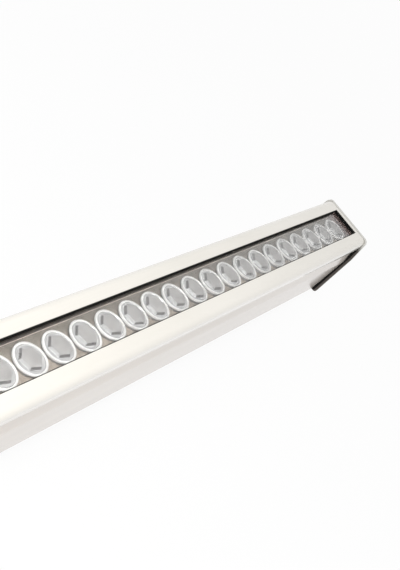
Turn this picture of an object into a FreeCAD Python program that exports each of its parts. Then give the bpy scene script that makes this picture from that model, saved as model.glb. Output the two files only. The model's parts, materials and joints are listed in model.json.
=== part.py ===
"""Outdoor wall washer light, one metre long, with two sliding and tilting feet.

Lengths are millimetres. X runs along the fitting, +Z is the way the light shines and the
feet stand on Z = 0, with the origin midway between them. Profiles of the fitting are drawn
with their depth below its front face, so a drawn height is minus a depth.
"""
import FreeCAD, Part
import math
import os
import Sketcher
from FreeCAD import Rotation, Vector

SIZES = (
    # lenses, LEDs and boards
    ("lens_radius", 12.4, "rim of one lens"),
    ("lens_spacing", 2.4, "between the rims of neighbouring lenses"),
    ("board_count", 3, "circuit boards in a row"),
    ("board_lenses", 12, "lenses on one board"),
    ("lens_height", 12.1, "rim to the foot of the lens"),
    ("lens_rim_height", 1.5, "height of the lens's upright rim"),
    ("lens_rim_width", 1.4, "width of the flat ring round the lens's dish"),
    ("lens_dish_depth", 0.6, "depth of the dish in the lens's front"),
    ("lens_boss_corner", 8.1, "corners of the raised hexagon in the middle of the dish"),
    ("lens_boss_height", 2, "floor of the dish to the top of that hexagon"),
    ("lens_boss_slope", 25, "degrees that the hexagon's sides lean in"),
    ("lens_foot_wall", 2.4, "foot of the lens round its hollow"),
    ("lens_gap", 4.2, "glass to the lens rims"),
    ("led_width", 3.5, "side of one LED package"),
    ("led_base_height", 0.8, "LED package without its dome"),
    ("led_dome_radius", 1.3, "dome of one LED"),
    ("led_room", 0.5, "air between an LED and the hollow in its lens"),
    ("board_thickness", 1.6, "aluminium circuit board"),
    ("board_gap", 0.4, "gap between boards"),
    ("board_screw_radius", 1.25, "screw that holds a board"),
    ("board_screw_head", 2.3, "head radius of a board screw"),
    ("board_screw_head_height", 1.6, "head height of a board screw"),
    ("board_screw_edge", 3.1, "head of a board screw to the tray's side"),
    ("tray_side_room", 3.5, "lens rims to the tray's sides"),
    ("tray_wall", 1.2, "sheet of the lens tray"),
    ("tray_drop", 4.5, "lens rims to the tray's floor"),
    ("tray_bend_radius", 0.8, "bends where the tray's floor meets its walls"),
    # front
    ("window_side_room", 2.8, "lens rims to the long edges of the window"),
    ("cover_end_border", 4.4, "end of the window to the end of the cover"),
    ("cover_web", 2.5, "thickness of the front"),
    ("cover_lip", 1.2, "thickness of the skirts at their edge"),
    ("cover_swell", 0.9, "how far the shoulders stand out past that edge"),
    ("cover_skirt_depth", 16.5, "front face to the edge of the skirts"),
    ("cover_shoulder_depth", 9.5, "front face to where the skirts draw in"),
    ("cover_shoulder_radius", 5.5, "rounding of the shoulders"),
    ("bead_setback", 2.8, "edge of the skirts to their snap bead"),
    ("bead_height", 0.8, "how far the snap bead stands in"),
    ("glass_thickness", 4, "toughened glass"),
    ("gasket_wall", 1, "rubber round the glass"),
    ("gasket_foot", 2, "rubber under the ends of the glass"),
    ("gasket_lip", 0.6, "rubber lip inside the window's edge"),
    ("gasket_lip_setback", 0.5, "front face to the top of the lip"),
    # housing
    ("ledge_width", 6.5, "ledge that carries the glass"),
    ("ledge_thickness", 2.5, "thickness of that ledge"),
    ("housing_wall", 2.4, "side walls of the housing"),
    ("groove_gap", 1.5, "edge of the skirts to where the housing flares"),
    ("groove_run", 15.5, "depth over which it flares"),
    ("belly_flare", 1.9, "how far it flares on each side"),
    ("back_draft", 1.3, "how far its sides draw in again to the back"),
    ("deck_thickness", 3, "shelf that carries the boards"),
    ("room_height", 41.6, "driver room under the deck"),
    ("floor_thickness", 3, "bottom of the driver room"),
    ("fin_thickness", 2, "one cooling fin"),
    ("slot_room_gap", 1, "nut bar to the top of the mounting slot"),
    ("slot_width", 14.4, "inside of the mounting slot"),
    ("slot_mouth", 8, "mouth of the mounting slot"),
    ("slot_lip", 2.5, "lips of the mounting slot"),
    ("slot_wall", 2.5, "sides of the mounting slot"),
    ("port_size", 8, "corner block with a screw hole"),
    # ends
    ("plate_thickness", 4.5, "end plate"),
    ("plate_front_margin", 1.2, "end plate past the cover's side"),
    ("plate_back_margin", 3.8, "end plate past the housing's side"),
    ("plate_flare_run", 9.5, "edge of the skirts to where the plate is widest"),
    ("plate_corner_radius", 5, "front corners of the end plate"),
    ("plate_back_radius", 3, "back corners of the end plate"),
    ("plate_edge_radius", 0.9, "rounding of the end plate's outer edge"),
    ("plate_setback", 0.3, "front face to the front edge of the end plate"),
    ("seal_thickness", 1.5, "rubber sheet behind the end plate"),
    ("seal_inset", 1.3, "front and back of the end plate to the rubber sheet's"),
    ("seal_side_margin", 1.3, "rubber sheet past the housing's side"),
    ("seal_corner_radius", 6, "front corners of the rubber sheet"),
    ("end_screw_radius", 2, "screw that holds an end plate"),
    ("end_screw_head", 3.6, "head radius of an end screw"),
    ("end_screw_head_height", 2.4, "head height of an end screw"),
    ("end_screw_grip", 12.4, "end screw inside the profile"),
    ("end_screw_socket", 1.5, "half width of the socket in an end screw"),
    ("end_screw_socket_depth", 1.4, "depth of that socket"),
    # cable glands
    ("cable_hole_radius", 3.5, "hole for the cable in the rubber sleeve"),
    ("sleeve_wall", 2, "rubber sleeve round the cable"),
    ("sleeve_setback", 2, "flange of the gland to the rubber sleeve"),
    ("gland_wall", 2.4, "threaded tube of the gland"),
    ("gland_hex_margin", 3, "thread to the corners of the gland's hexagons"),
    ("gland_flange", 4, "hexagon of the gland body"),
    ("gland_nose", 8, "outer thread of the gland body"),
    ("gland_tail_end", 1.5, "inner thread past the lock nut"),
    ("gland_seal_height", 1.5, "flat ring under the gland body"),
    ("gland_cap_hexagon", 7, "hexagonal part of the cap nut"),
    ("gland_cap_dome", 6, "round part of the cap nut"),
    ("gland_cap_step", 0.5, "hexagon's flats to the round part"),
    ("gland_cap_rounding", 1.5, "rounding of the cap nut's end"),
    ("gland_nut_height", 4, "lock nut inside the end plate"),
    # driver
    ("driver_length", 230, "LED driver"),
    ("driver_side_gap", 0.3, "LED driver to the screw ports"),
    ("driver_height", 26, "LED driver with its lid"),
    ("driver_wall", 1.5, "driver's case"),
    ("driver_pad", 1, "thermal pad under the driver"),
    ("driver_pad_inset", 2, "driver's edge to the pad's"),
    ("driver_post", 3, "driver's circuit board above the case floor"),
    ("driver_post_radius", 2, "posts under the driver's circuit board"),
    ("driver_board_end", 3, "driver's circuit board to the case's ends"),
    ("driver_part_gap", 2, "driver's components to its lid and sides"),
    ("transformer_length", 28, "transformer on the driver's board"),
    ("choke_length", 20, "choke on the driver's board"),
    ("capacitor_radius", 6, "capacitors on the driver's board"),
    ("terminal_length", 34, "terminal block"),
    ("terminal_width", 18, "terminal block"),
    ("terminal_height", 15, "terminal block"),
    ("terminal_end_gap", 45, "end of the profile to the terminal block"),
    ("terminal_poles", 3, "poles of the terminal block"),
    ("terminal_hole_radius", 1.8, "wire and screw holes of the terminal block"),
    # feet
    ("foot_spacing", 600, "between the feet as delivered"),
    ("pivot_height", 16, "wall or floor to the tilt axis"),
    ("pivot_to_back", 14, "tilt axis to the back face"),
    ("foot_width", 36, "foot across the fitting"),
    ("foot_plate", 3, "foot's plate and ears"),
    ("foot_corner_radius", 4, "corners of the foot's plate"),
    ("foot_slot_gap", 13, "ear to the screw slot"),
    ("foot_slot_length", 14, "one screw slot, end to end"),
    ("foot_slot_radius", 3.25, "half width of a screw slot"),
    ("foot_slot_edge", 3, "end of a screw slot to the plate's end"),
    ("ear_room", 0.9, "round end of the ears to the slider plate"),
    ("ear_gap", 26, "between the ears"),
    ("slider_width", 24, "slider plate across the fitting"),
    ("slider_plate", 4, "slider plate"),
    ("slider_corner_radius", 2, "corners of the slider plate"),
    ("slider_screw_radius", 2.5, "screw that clamps a slider"),
    ("slider_screw_head", 4.8, "countersunk head of a slider screw"),
    ("slider_screw_gap", 2.2, "that head to the lug's ears and to the plate's end"),
    ("slider_screw_socket", 1.5, "half width of the socket in a slider screw"),
    ("nut_bar_end", 3.5, "screw to the end of the nut bar"),
    ("nut_bar_thickness", 4.5, "nut bar in the mounting slot"),
    ("pivot_radius", 3, "tilt bolt"),
    ("pivot_head_margin", 2.6, "tilt bolt to the corners of its head and nut"),
    ("pivot_head_height", 4, "tilt bolt's head"),
    ("pivot_nut_height", 5, "tilt bolt's nut"),
    ("pivot_thread_end", 2, "thread standing out of the nut"),
    ("pivot_washer_margin", 3, "tilt bolt to the edge of its washers"),
    ("pivot_washer", 1.2, "thickness of those washers"),
    # clearances
    ("slide_fit", 0.1, "between parts that slide or turn on flat faces"),
    ("pivot_fit", 0.05, "round the tilt bolt in the slider"),
    ("screw_fit", 0.05, "round a screw in its thread"),
    ("hole_fit", 0.25, "round a screw or thread in a plain hole"),
    ("seat_fit", 0.1, "between parts that drop or snap into each other"),
)

# Heights and lengths that follow from the lenses outwards; a depth is below the front face.
PLACES = (
    # along the fitting
    ("lens_count", "size.board_count * size.board_lenses"),
    ("lens_pitch", "2 * size.lens_radius + size.lens_spacing"),
    ("board_pitch", "size.board_lenses * lens_pitch"),
    ("half_window", "lens_count * lens_pitch / 2"),
    ("half_profile", "half_window + size.cover_end_border"),
    ("half_length", "half_profile + size.seal_thickness + size.plate_thickness"),
    ("glass_half_length", "half_profile - size.seat_fit - size.gasket_wall"),
    ("tray_half_length", "glass_half_length - size.gasket_foot - size.seat_fit"),
    # across it
    ("window_half", "size.lens_radius + size.window_side_room"),
    ("tray_inner_half", "size.lens_radius + size.tray_side_room"),
    ("tray_half", "tray_inner_half + size.tray_wall"),
    ("board_half", "tray_inner_half - 2 * size.seat_fit"),
    ("board_screw_y", "tray_inner_half - size.board_screw_edge - size.board_screw_head"),
    ("ledge_half", "tray_half + size.seat_fit"),
    ("bay_half", "ledge_half + size.ledge_width"),
    ("glass_half", "bay_half - size.seat_fit - size.gasket_wall"),
    ("neck_half", "bay_half + size.housing_wall"),
    ("cover_inner_half", "neck_half + size.seat_fit"),
    ("mouth_half", "cover_inner_half + size.cover_lip"),
    ("cover_half", "mouth_half + size.cover_swell"),
    ("belly_half", "neck_half + size.belly_flare"),
    ("back_half", "belly_half - size.back_draft"),
    ("room_half", "back_half - size.housing_wall"),
    ("slot_outer_half", "size.slot_width / 2 + size.slot_wall"),
    ("port_y", "room_half - size.port_size / 2"),
    ("driver_half", "room_half - size.port_size - size.driver_side_gap"),
    ("plate_front_half", "cover_half + size.plate_front_margin"),
    ("plate_back_half", "belly_half + size.plate_back_margin"),
    ("seal_back_half", "belly_half + size.seal_side_margin"),
    # below the front face
    ("glass_top", "size.cover_web + size.gasket_wall"),
    ("glass_bottom", "glass_top + size.glass_thickness"),
    ("ledge_top", "glass_bottom + size.gasket_wall"),
    ("lens_top", "glass_bottom + size.lens_gap"),
    ("tray_floor", "lens_top + size.tray_drop"),
    ("board_top", "lens_top + size.lens_height"),
    ("deck_top", "board_top + size.board_thickness"),
    ("deck_bottom", "deck_top + size.deck_thickness"),
    ("floor_top", "deck_bottom + size.room_height"),
    ("floor_bottom", "floor_top + size.floor_thickness"),
    ("slot_room", "size.nut_bar_thickness + size.slot_room_gap"),
    ("body_depth", "floor_bottom + slot_room + size.slot_lip"),
    ("bead_depth", "size.cover_skirt_depth - size.bead_setback"),
    ("groove_start", "size.cover_skirt_depth + size.groove_gap"),
    ("groove_end", "groove_start + size.groove_run"),
    ("plate_flare", "size.cover_skirt_depth + size.plate_flare_run"),
    ("port_top", "deck_bottom + size.port_size / 2"),
    ("port_bottom", "floor_top - size.port_size / 2"),
    ("gland_level", "deck_bottom + size.room_height / 2"),
    # cable glands
    ("sleeve_radius", "size.cable_hole_radius + size.sleeve_wall"),
    ("gland_bore", "sleeve_radius + size.seat_fit"),
    ("gland_thread", "gland_bore + size.gland_wall"),
    ("gland_hex", "gland_thread + size.gland_hex_margin"),
    ("plate_and_seal", "size.plate_thickness + size.seal_thickness"),
    ("gland_tail", "plate_and_seal + size.gland_nut_height + size.gland_tail_end"),
    # feet, from the tilt axis
    ("front", "size.pivot_height + size.pivot_to_back + body_depth"),
    ("slider_top", "size.pivot_to_back - size.slide_fit"),
    ("slider_under", "slider_top - size.slider_plate"),
    ("ear_radius", "slider_under - size.ear_room"),
    ("ear_out", "size.ear_gap / 2 + size.foot_plate"),
    ("foot_slot_x", "ear_out + size.foot_slot_gap + size.foot_slot_length / 2"),
    ("foot_half", "foot_slot_x + size.foot_slot_length / 2 + size.foot_slot_edge"),
    ("slider_screw_x", "size.ear_gap / 2 + size.slider_screw_head + size.slider_screw_gap"),
    ("slider_half", "slider_screw_x + size.slider_screw_head + size.slider_screw_gap"),
    ("nut_bar_half", "slider_screw_x + size.slider_screw_radius + size.nut_bar_end"),
    ("pivot_head", "size.pivot_radius + size.pivot_head_margin"),
    ("pivot_washer_radius", "size.pivot_radius + size.pivot_washer_margin"),
)

FINS_PER_SIDE = 2
SCREWS_PER_BOARD = 3
SIDES = (("left", -1), ("right", 1))
QUADRANTS = ((1, 1), (-1, 1), (-1, -1), (1, -1))
HEXAGON_STEP = 60
LENS_BOSS_TURN = 45
CUT_LENGTH = "4 * place.half_length"
LENS_HOLLOW_RADIUS = "(size.led_width / 2 * sqrt(2) + size.led_room)"
LENS_FOOT_RADIUS = f"({LENS_HOLLOW_RADIUS} + size.lens_foot_wall)"
ALONG_X = Vector(1, 0, 0)
UPRIGHT = Vector(0, 0, 1)

doc = FreeCAD.newDocument("wall_washer")
nodes = []


def fill_sheet():
    """Write the driving sizes into the sheet, each under its own alias."""
    sheet = doc.addObject("Spreadsheet::Sheet", "size")
    for row, (alias, value, note) in enumerate(SIZES, start=1):
        sheet.set(f"A{row}", alias)
        sheet.set(f"B{row}", str(value))
        sheet.set(f"C{row}", note)
        sheet.setAlias(f"B{row}", alias)
    doc.recompute()


def fill_places():
    """Work out the shared levels and half widths from the sheet."""
    places = doc.addObject("App::VarSet", "place")
    for name, text in PLACES:
        places.addProperty("App::PropertyFloat", name, "place", "")
    for name, text in PLACES:
        places.setExpression(name, text)
    doc.recompute()
    return places


fill_sheet()
place = fill_places()


def value(text):
    """The number that an expression gives."""
    return float(place.evalExpression(text))


def new_body(name, x="0", y="0", z="0"):
    """An empty body that becomes the node of that name, placed by expressions."""
    body = doc.addObject("PartDesign::Body", name)
    body.Label = name
    body.setExpression("Placement.Base.x", x)
    body.setExpression("Placement.Base.y", y)
    body.setExpression("Placement.Base.z", z)
    nodes.append(body)
    return body


def turn_for_side(body, sign):
    """Turn a body that is drawn for the right end round for the left end."""
    if sign < 0:
        body.Placement.Rotation = Rotation(Vector(0, 0, 1), 180)


def origin_feature(body, role):
    return [item for item in body.Origin.OriginFeatures if item.Role == role][0]


def new_sketch(body, name, role, level="0"):
    """A sketch on one of the body's own planes, moved along its normal to the level."""
    sketch = body.newObject("Sketcher::SketchObject", name)
    sketch.AttachmentSupport = [(origin_feature(body, role), "")]
    sketch.MapMode = "FlatFace"
    sketch.setExpression("AttachmentOffset.Base.z", level)
    return sketch


def fix_point(sketch, geometry, point, x, y):
    """Hold one point of the sketch at the two expressions."""
    for kind, text in (("DistanceX", x), ("DistanceY", y)):
        number = sketch.addConstraint(
            Sketcher.Constraint(kind, -1, 1, geometry, point, value(text))
        )
        sketch.setExpression(f"Constraints[{number}]", text)


def add_outline(sketch, corners):
    """A closed outline with straight edges; a corner is a pair of expressions."""
    spots = [Vector(value(x), value(y), 0) for x, y in corners]
    first = sketch.GeometryCount
    for start, end in zip(spots, spots[1:] + spots[:1]):
        sketch.addGeometry(Part.LineSegment(start, end))
    for index, (x, y) in enumerate(corners):
        following = (index + 1) % len(corners)
        sketch.addConstraint(
            Sketcher.Constraint("Coincident", first + index, 2, first + following, 1)
        )
        fix_point(sketch, first + index, 1, x, y)


def add_rectangle(sketch, low_x, low_y, high_x, high_y):
    add_outline(
        sketch, [(low_x, low_y), (high_x, low_y), (high_x, high_y), (low_x, high_y)]
    )


def add_circle(sketch, radius, x="0", y="0"):
    circle = Part.Circle(Vector(value(x), value(y), 0), Vector(0, 0, 1), value(radius))
    number = sketch.addGeometry(circle)
    fix_point(sketch, number, 3, x, y)
    size = sketch.addConstraint(Sketcher.Constraint("Radius", number, value(radius)))
    sketch.setExpression(f"Constraints[{size}]", radius)


def add_hexagon(sketch, corner_radius, x="0", y="0", turn=0):
    """A regular hexagon whose first corner is turned from the sketch's X, in degrees."""
    corners = []
    for step in range(360 // HEXAGON_STEP):
        angle = math.radians(turn + HEXAGON_STEP * step)
        corners.append(
            (
                f"{x} + {math.cos(angle):.6f} * ({corner_radius})",
                f"{y} + {math.sin(angle):.6f} * ({corner_radius})",
            )
        )
    add_outline(sketch, corners)


def add_slot(sketch, centre_x, length, radius):
    """A straight slot along the sketch's X, on its X axis."""
    run = f"({length}) / 2 - ({radius})"
    left = value(f"({centre_x}) - ({run})")
    right = value(f"({centre_x}) + ({run})")
    wide = value(radius)
    normal = Vector(0, 0, 1)
    first = sketch.GeometryCount
    quarter = math.pi / 2
    left_circle = Part.Circle(Vector(left, 0, 0), normal, wide)
    right_circle = Part.Circle(Vector(right, 0, 0), normal, wide)
    sketch.addGeometry(Part.ArcOfCircle(left_circle, quarter, 3 * quarter))
    sketch.addGeometry(Part.LineSegment(Vector(left, -wide, 0), Vector(right, -wide, 0)))
    sketch.addGeometry(Part.ArcOfCircle(right_circle, -quarter, quarter))
    sketch.addGeometry(Part.LineSegment(Vector(right, wide, 0), Vector(left, wide, 0)))
    for step in range(4):
        following = first + (step + 1) % 4
        sketch.addConstraint(
            Sketcher.Constraint("Tangent", first + step, 2, following, 1)
        )
    fix_point(sketch, first, 3, f"({centre_x}) - ({run})", "0")
    fix_point(sketch, first + 2, 3, f"({centre_x}) + ({run})", "0")
    size = sketch.addConstraint(Sketcher.Constraint("Radius", first, wide))
    sketch.setExpression(f"Constraints[{size}]", radius)


def mirrored(half):
    """The half outline from the middle to the right, closed by its mirror image."""
    return half + [(f"-({x})", y) for x, y in reversed(half)]


def keep(body, feature):
    """Make the feature the body's result and bring the document up to date."""
    body.Tip = feature
    doc.recompute()
    return feature


def pad(body, sketch, length, side="One side", backwards=False):
    feature = body.newObject("PartDesign::Pad", sketch.Label + "_pad")
    feature.Profile = sketch
    feature.SideType = side
    feature.Reversed = backwards
    feature.setExpression("Length", length)
    return keep(body, feature)


def revolve(body, sketch):
    feature = body.newObject("PartDesign::Revolution", sketch.Label + "_turned")
    feature.Profile = sketch
    feature.ReferenceAxis = (origin_feature(body, "Z_Axis"), [""])
    feature.Angle = 360
    return keep(body, feature)


def pocket(body, sketch, depth=CUT_LENGTH, side="Symmetric", backwards=False):
    """Cut the sketch into the body, and stop if nothing was cut."""
    doc.recompute()
    before = body.Shape.Volume
    feature = body.newObject("PartDesign::Pocket", sketch.Label + "_cut")
    feature.Profile = sketch
    feature.SideType = side
    feature.Reversed = backwards
    feature.setExpression("Length", depth)
    keep(body, feature)
    if not body.Shape.Volume < before * (1 - 1e-7):
        raise ValueError(f"{body.Label}: {sketch.Label} cuts nothing")
    return feature


def row_along_x(body, originals, pitch, count):
    feature = body.newObject("PartDesign::LinearPattern", body.Label + "_row")
    feature.Originals = originals
    feature.Direction = (origin_feature(body, "X_Axis"), [""])
    feature.setExpression("Length", f"({pitch}) * (({count}) - 1)")
    feature.setExpression("Occurrences", count)
    return keep(body, feature)


def runs_along(edge, axis):
    """True for a straight edge parallel to the axis."""
    if len(edge.Vertexes) < 2 or edge.Curve.TypeId != "Part::GeomLine":
        return False
    return edge.tangentAt(edge.FirstParameter).cross(axis).Length < 1e-6


def round_edges(body, radius, wanted, axis=None):
    """Round the edges whose ends satisfy the test, all or only those along the axis."""
    base = body.Tip
    names = []
    for number, edge in enumerate(base.Shape.Edges, start=1):
        ends = [vertex.Point for vertex in edge.Vertexes]
        if ends and all(wanted(end) for end in ends):
            if axis is None or runs_along(edge, axis):
                names.append(f"Edge{number}")
    if not names:
        raise ValueError(f"{body.Label}: no edge to round")
    feature = body.newObject("PartDesign::Fillet", body.Label + "_rounding")
    feature.Base = (base, names)
    feature.setExpression("Radius", radius)
    return keep(body, feature)


def near(number, text):
    return abs(number - value(text)) < 1e-4


# ---------------------------------------------------------------- housing and its front


def make_housing():
    """One extrusion: glass ledges, board deck, driver room, fins and mounting slot."""
    body = new_body("housing", z="place.front")
    profile = new_sketch(body, "housing_profile", "YZ_Plane")
    half = [
        ("place.slot_outer_half", "-place.body_depth"),
        ("place.slot_outer_half", "-place.floor_bottom"),
    ]
    gap = (
        "((place.room_half - place.slot_outer_half"
        f" - {FINS_PER_SIDE} * size.fin_thickness) / {FINS_PER_SIDE + 1})"
    )
    for fin in range(FINS_PER_SIDE):
        near_side = f"place.slot_outer_half + {fin + 1} * {gap} + {fin} * size.fin_thickness"
        far_side = f"{near_side} + size.fin_thickness"
        half += [
            (near_side, "-place.floor_bottom"),
            (near_side, "-place.body_depth"),
            (far_side, "-place.body_depth"),
            (far_side, "-place.floor_bottom"),
        ]
    neck = "place.neck_half"
    bay = "place.bay_half"
    half += [
        ("place.room_half", "-place.floor_bottom"),
        ("place.room_half", "-place.body_depth"),
        ("place.back_half", "-place.body_depth"),
        ("place.belly_half", "-place.groove_end"),
        (neck, "-place.groove_start"),
        (neck, "-(place.bead_depth + size.bead_height + 2 * size.seat_fit)"),
        (f"{neck} - size.bead_height - size.seat_fit", "-place.bead_depth"),
        (neck, "-(place.bead_depth - size.bead_height - 2 * size.seat_fit)"),
        (neck, "-(size.cover_web + size.seat_fit)"),
        (bay, "-(size.cover_web + size.seat_fit)"),
        (bay, "-place.ledge_top"),
        ("place.ledge_half", "-place.ledge_top"),
        ("place.ledge_half", "-(place.ledge_top + size.ledge_thickness)"),
        (bay, "-(place.ledge_top + size.ledge_thickness)"),
        (bay, "-place.deck_top"),
    ]
    slot_floor = "-place.floor_bottom"
    lip_top = "-(place.body_depth - size.slot_lip)"
    slot = [
        ("size.slot_width / 2", slot_floor),
        ("size.slot_width / 2", lip_top),
        ("size.slot_mouth / 2", lip_top),
        ("size.slot_mouth / 2", "-place.body_depth"),
    ]
    add_outline(profile, mirrored(slot + half))
    port = "size.port_size"
    room = [
        (f"place.room_half - {port}", "-place.floor_top"),
        (f"place.room_half - {port}", f"-(place.floor_top - {port})"),
        ("place.room_half", f"-(place.floor_top - {port})"),
        ("place.room_half", f"-(place.deck_bottom + {port})"),
        (f"place.room_half - {port}", f"-(place.deck_bottom + {port})"),
        (f"place.room_half - {port}", "-place.deck_bottom"),
    ]
    add_outline(profile, mirrored(room))
    for x, y in port_centres():
        add_circle(profile, "size.end_screw_radius + size.screw_fit", x, y)
    pad(body, profile, "2 * place.half_profile", side="Symmetric")
    drill_board_holes(body)


def port_centres():
    """The four screw ports as (across, minus depth)."""
    centres = []
    for across, up in QUADRANTS:
        level = "place.port_top" if up > 0 else "place.port_bottom"
        centres.append((f"{across} * place.port_y", f"-{level}"))
    return centres


def board_screw_spots(start):
    """Board screws in pairs of expressions, for a row that starts at the expression."""
    spots = []
    for number in range(SCREWS_PER_BOARD):
        lens = f"round((size.board_lenses - 2) * {number} / {SCREWS_PER_BOARD - 1})"
        along = f"{start} + ({lens} + 0.5) * place.lens_pitch"
        across = 1 if number % 2 else -1
        spots.append((along, f"{across} * place.board_screw_y"))
    return spots


def board_start(index):
    """First lens of a board, along X."""
    return f"({index} - size.board_count / 2 + 0.5 / size.board_lenses) * place.board_pitch"


def boards():
    return range(int(value("size.board_count")))


def drill_board_holes(body):
    sketch = new_sketch(body, "board_screw_holes", "XY_Plane", "-place.deck_top")
    for index in boards():
        for x, y in board_screw_spots(board_start(index)):
            add_circle(sketch, "size.board_screw_radius + size.screw_fit", x, y)
    pocket(body, sketch, "size.deck_thickness", side="One side")


def make_front_cover():
    """Snap-on cover: rounded shoulders, skirts with a bead, and the long window."""
    body = new_body("front_cover", z="place.front")
    profile = new_sketch(body, "cover_profile", "YZ_Plane")
    inner = "place.cover_inner_half"
    half = [
        (inner, "-size.cover_web"),
        (inner, "-(place.bead_depth - size.bead_height)"),
        (f"{inner} - size.bead_height", "-place.bead_depth"),
        (inner, "-(place.bead_depth + size.bead_height)"),
        (inner, "-size.cover_skirt_depth"),
        ("place.mouth_half", "-size.cover_skirt_depth"),
        ("place.cover_half", "-size.cover_shoulder_depth"),
        ("place.cover_half", "0"),
    ]
    add_outline(profile, mirrored(half))
    pad(body, profile, "2 * place.half_profile", side="Symmetric")
    window = new_sketch(body, "window", "XY_Plane")
    along = "place.half_window"
    across = "place.window_half"
    add_rectangle(window, f"-({along})", f"-{across}", along, across)
    pocket(body, window, "2 * size.cover_web")
    round_edges(
        body,
        "size.cover_shoulder_radius",
        lambda point: near(abs(point.y), "place.cover_half") and near(point.z, "0"),
        ALONG_X,
    )


def make_glass_gasket():
    """Rubber frame that wraps the glass's edge, with a lip inside the window's edge."""
    body = new_body("glass_gasket", z="place.front")
    fit = "size.seat_fit"
    block = new_sketch(body, "gasket_outside", "XY_Plane", "-place.ledge_top")
    along = f"place.half_profile - {fit}"
    across = f"place.bay_half - {fit}"
    add_rectangle(block, f"-({along})", f"-({across})", along, across)
    pad(body, block, "place.ledge_top - size.cover_web")
    window_along = f"(place.half_window - {fit})"
    window_across = f"(place.window_half - {fit})"
    lip = new_sketch(body, "gasket_lip", "XY_Plane", "-size.cover_web")
    add_rectangle(lip, f"-{window_along}", f"-{window_across}", window_along, window_across)
    pad(body, lip, "size.cover_web - size.gasket_lip_setback")
    hole = new_sketch(body, "gasket_opening", "XY_Plane")
    along = f"({window_along} - size.gasket_lip)"
    across = f"({window_across} - size.gasket_lip)"
    add_rectangle(hole, f"-{along}", f"-{across}", along, across)
    pocket(body, hole)
    seat = new_sketch(body, "gasket_glass_seat", "XY_Plane", "-place.glass_top")
    along, across = "place.glass_half_length", "place.glass_half"
    add_rectangle(seat, f"-{along}", f"-{across}", along, across)
    pocket(body, seat, "size.glass_thickness", side="One side")
    under = new_sketch(body, "gasket_underside", "XY_Plane", "-place.glass_bottom")
    across = "(place.ledge_half + size.gasket_wall)"
    along = "(place.glass_half_length - size.gasket_foot)"
    add_rectangle(under, f"-{along}", f"-{across}", along, across)
    pocket(body, under, "2 * size.gasket_wall", side="One side")


def make_front_glass():
    body = new_body("front_glass", z="place.front")
    sheet = new_sketch(body, "glass_sheet", "XY_Plane", "-place.glass_bottom")
    along, across = "place.glass_half_length", "place.glass_half"
    add_rectangle(sheet, f"-{along}", f"-{across}", along, across)
    pad(body, sheet, "size.glass_thickness")


# ---------------------------------------------------------------- LED row


def lens_cup_radius(depth):
    """Outside of the lens's cup at a depth below the front face."""
    under_rim = "(place.lens_top + size.lens_rim_height)"
    share = f"((({depth}) - {under_rim}) / (place.board_top - {under_rim}))"
    return f"(size.lens_radius - (size.lens_radius - {LENS_FOOT_RADIUS}) * {share})"


def make_lens_tray():
    """H-shaped tray with closed ends: legs on the deck, a hole in the floor for each cup."""
    body = new_body("lens_tray", z="place.front")
    profile = new_sketch(body, "tray_profile", "YZ_Plane")
    outer = "place.tray_half"
    inner = "place.tray_inner_half"
    top = "-(place.glass_bottom + 2 * size.seat_fit)"
    floor_top = "-place.tray_floor"
    floor_under = "-(place.tray_floor + size.tray_wall)"
    add_outline(
        profile,
        [
            (outer, "-place.deck_top"),
            (outer, top),
            (inner, top),
            (inner, floor_top),
            (f"-{inner}", floor_top),
            (f"-{inner}", top),
            (f"-{outer}", top),
            (f"-{outer}", "-place.deck_top"),
            (f"-{inner}", "-place.deck_top"),
            (f"-{inner}", floor_under),
            (inner, floor_under),
            (inner, "-place.deck_top"),
        ],
    )
    pad(body, profile, "2 * place.tray_half_length", side="Symmetric")
    ends = new_sketch(body, "tray_ends", "XY_Plane", floor_top)
    far = "place.tray_half_length"
    near_end = f"({far} - size.tray_wall)"
    add_rectangle(ends, near_end, f"-{inner}", far, inner)
    add_rectangle(ends, f"-{far}", f"-{inner}", f"-{near_end}", inner)
    pad(body, ends, f"{top} - ({floor_top})")
    round_edges(
        body,
        "size.tray_bend_radius",
        lambda point: near(abs(point.y), inner) and near(point.z, floor_top),
        ALONG_X,
    )
    hole = new_sketch(body, "cup_hole", "XY_Plane", "-place.tray_floor")
    radius = f"{lens_cup_radius('place.tray_floor')} + size.seat_fit"
    first = "-(place.lens_count - 1) * place.lens_pitch / 2"
    add_circle(hole, radius, first)
    cut = pocket(body, hole, "size.tray_wall", side="One side")
    row_along_x(body, [cut], "place.lens_pitch", "place.lens_count")


def make_lens_row(index):
    """The separate moulded lenses over one board: a dished front with a raised hexagon."""
    body = new_body(f"lens_row_{index + 1}", x=board_start(index), z="place.front")
    profile = new_sketch(body, "lens_profile", "XZ_Plane")
    foot = "-place.board_top"
    top = "-place.lens_top"
    dish = "-(place.lens_top + size.lens_dish_depth)"
    dish_radius = "(size.lens_radius - size.lens_rim_width)"
    hollow = LENS_HOLLOW_RADIUS
    led_top = "size.led_base_height + size.led_dome_radius + size.led_room"
    add_outline(
        profile,
        [
            (hollow, foot),
            (LENS_FOOT_RADIUS, foot),
            ("size.lens_radius", "-(place.lens_top + size.lens_rim_height)"),
            ("size.lens_radius", top),
            (dish_radius, top),
            (f"{dish_radius} - size.lens_dish_depth", dish),
            ("0", dish),
            ("0", f"{foot} + {led_top}"),
            (hollow, f"{foot} + {led_top}"),
        ],
    )
    turned = revolve(body, profile)
    boss = new_sketch(body, "lens_boss", "XY_Plane", dish)
    spread = f"size.lens_boss_height * tan(size.lens_boss_slope) / cos({HEXAGON_STEP} / 2)"
    add_hexagon(boss, f"size.lens_boss_corner + {spread}", turn=LENS_BOSS_TURN)
    boss_pad = pad(body, boss, "size.lens_boss_height")
    boss_pad.setExpression("TaperAngle", "-size.lens_boss_slope")
    row_along_x(body, [turned, boss_pad], "place.lens_pitch", "size.board_lenses")


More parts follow.
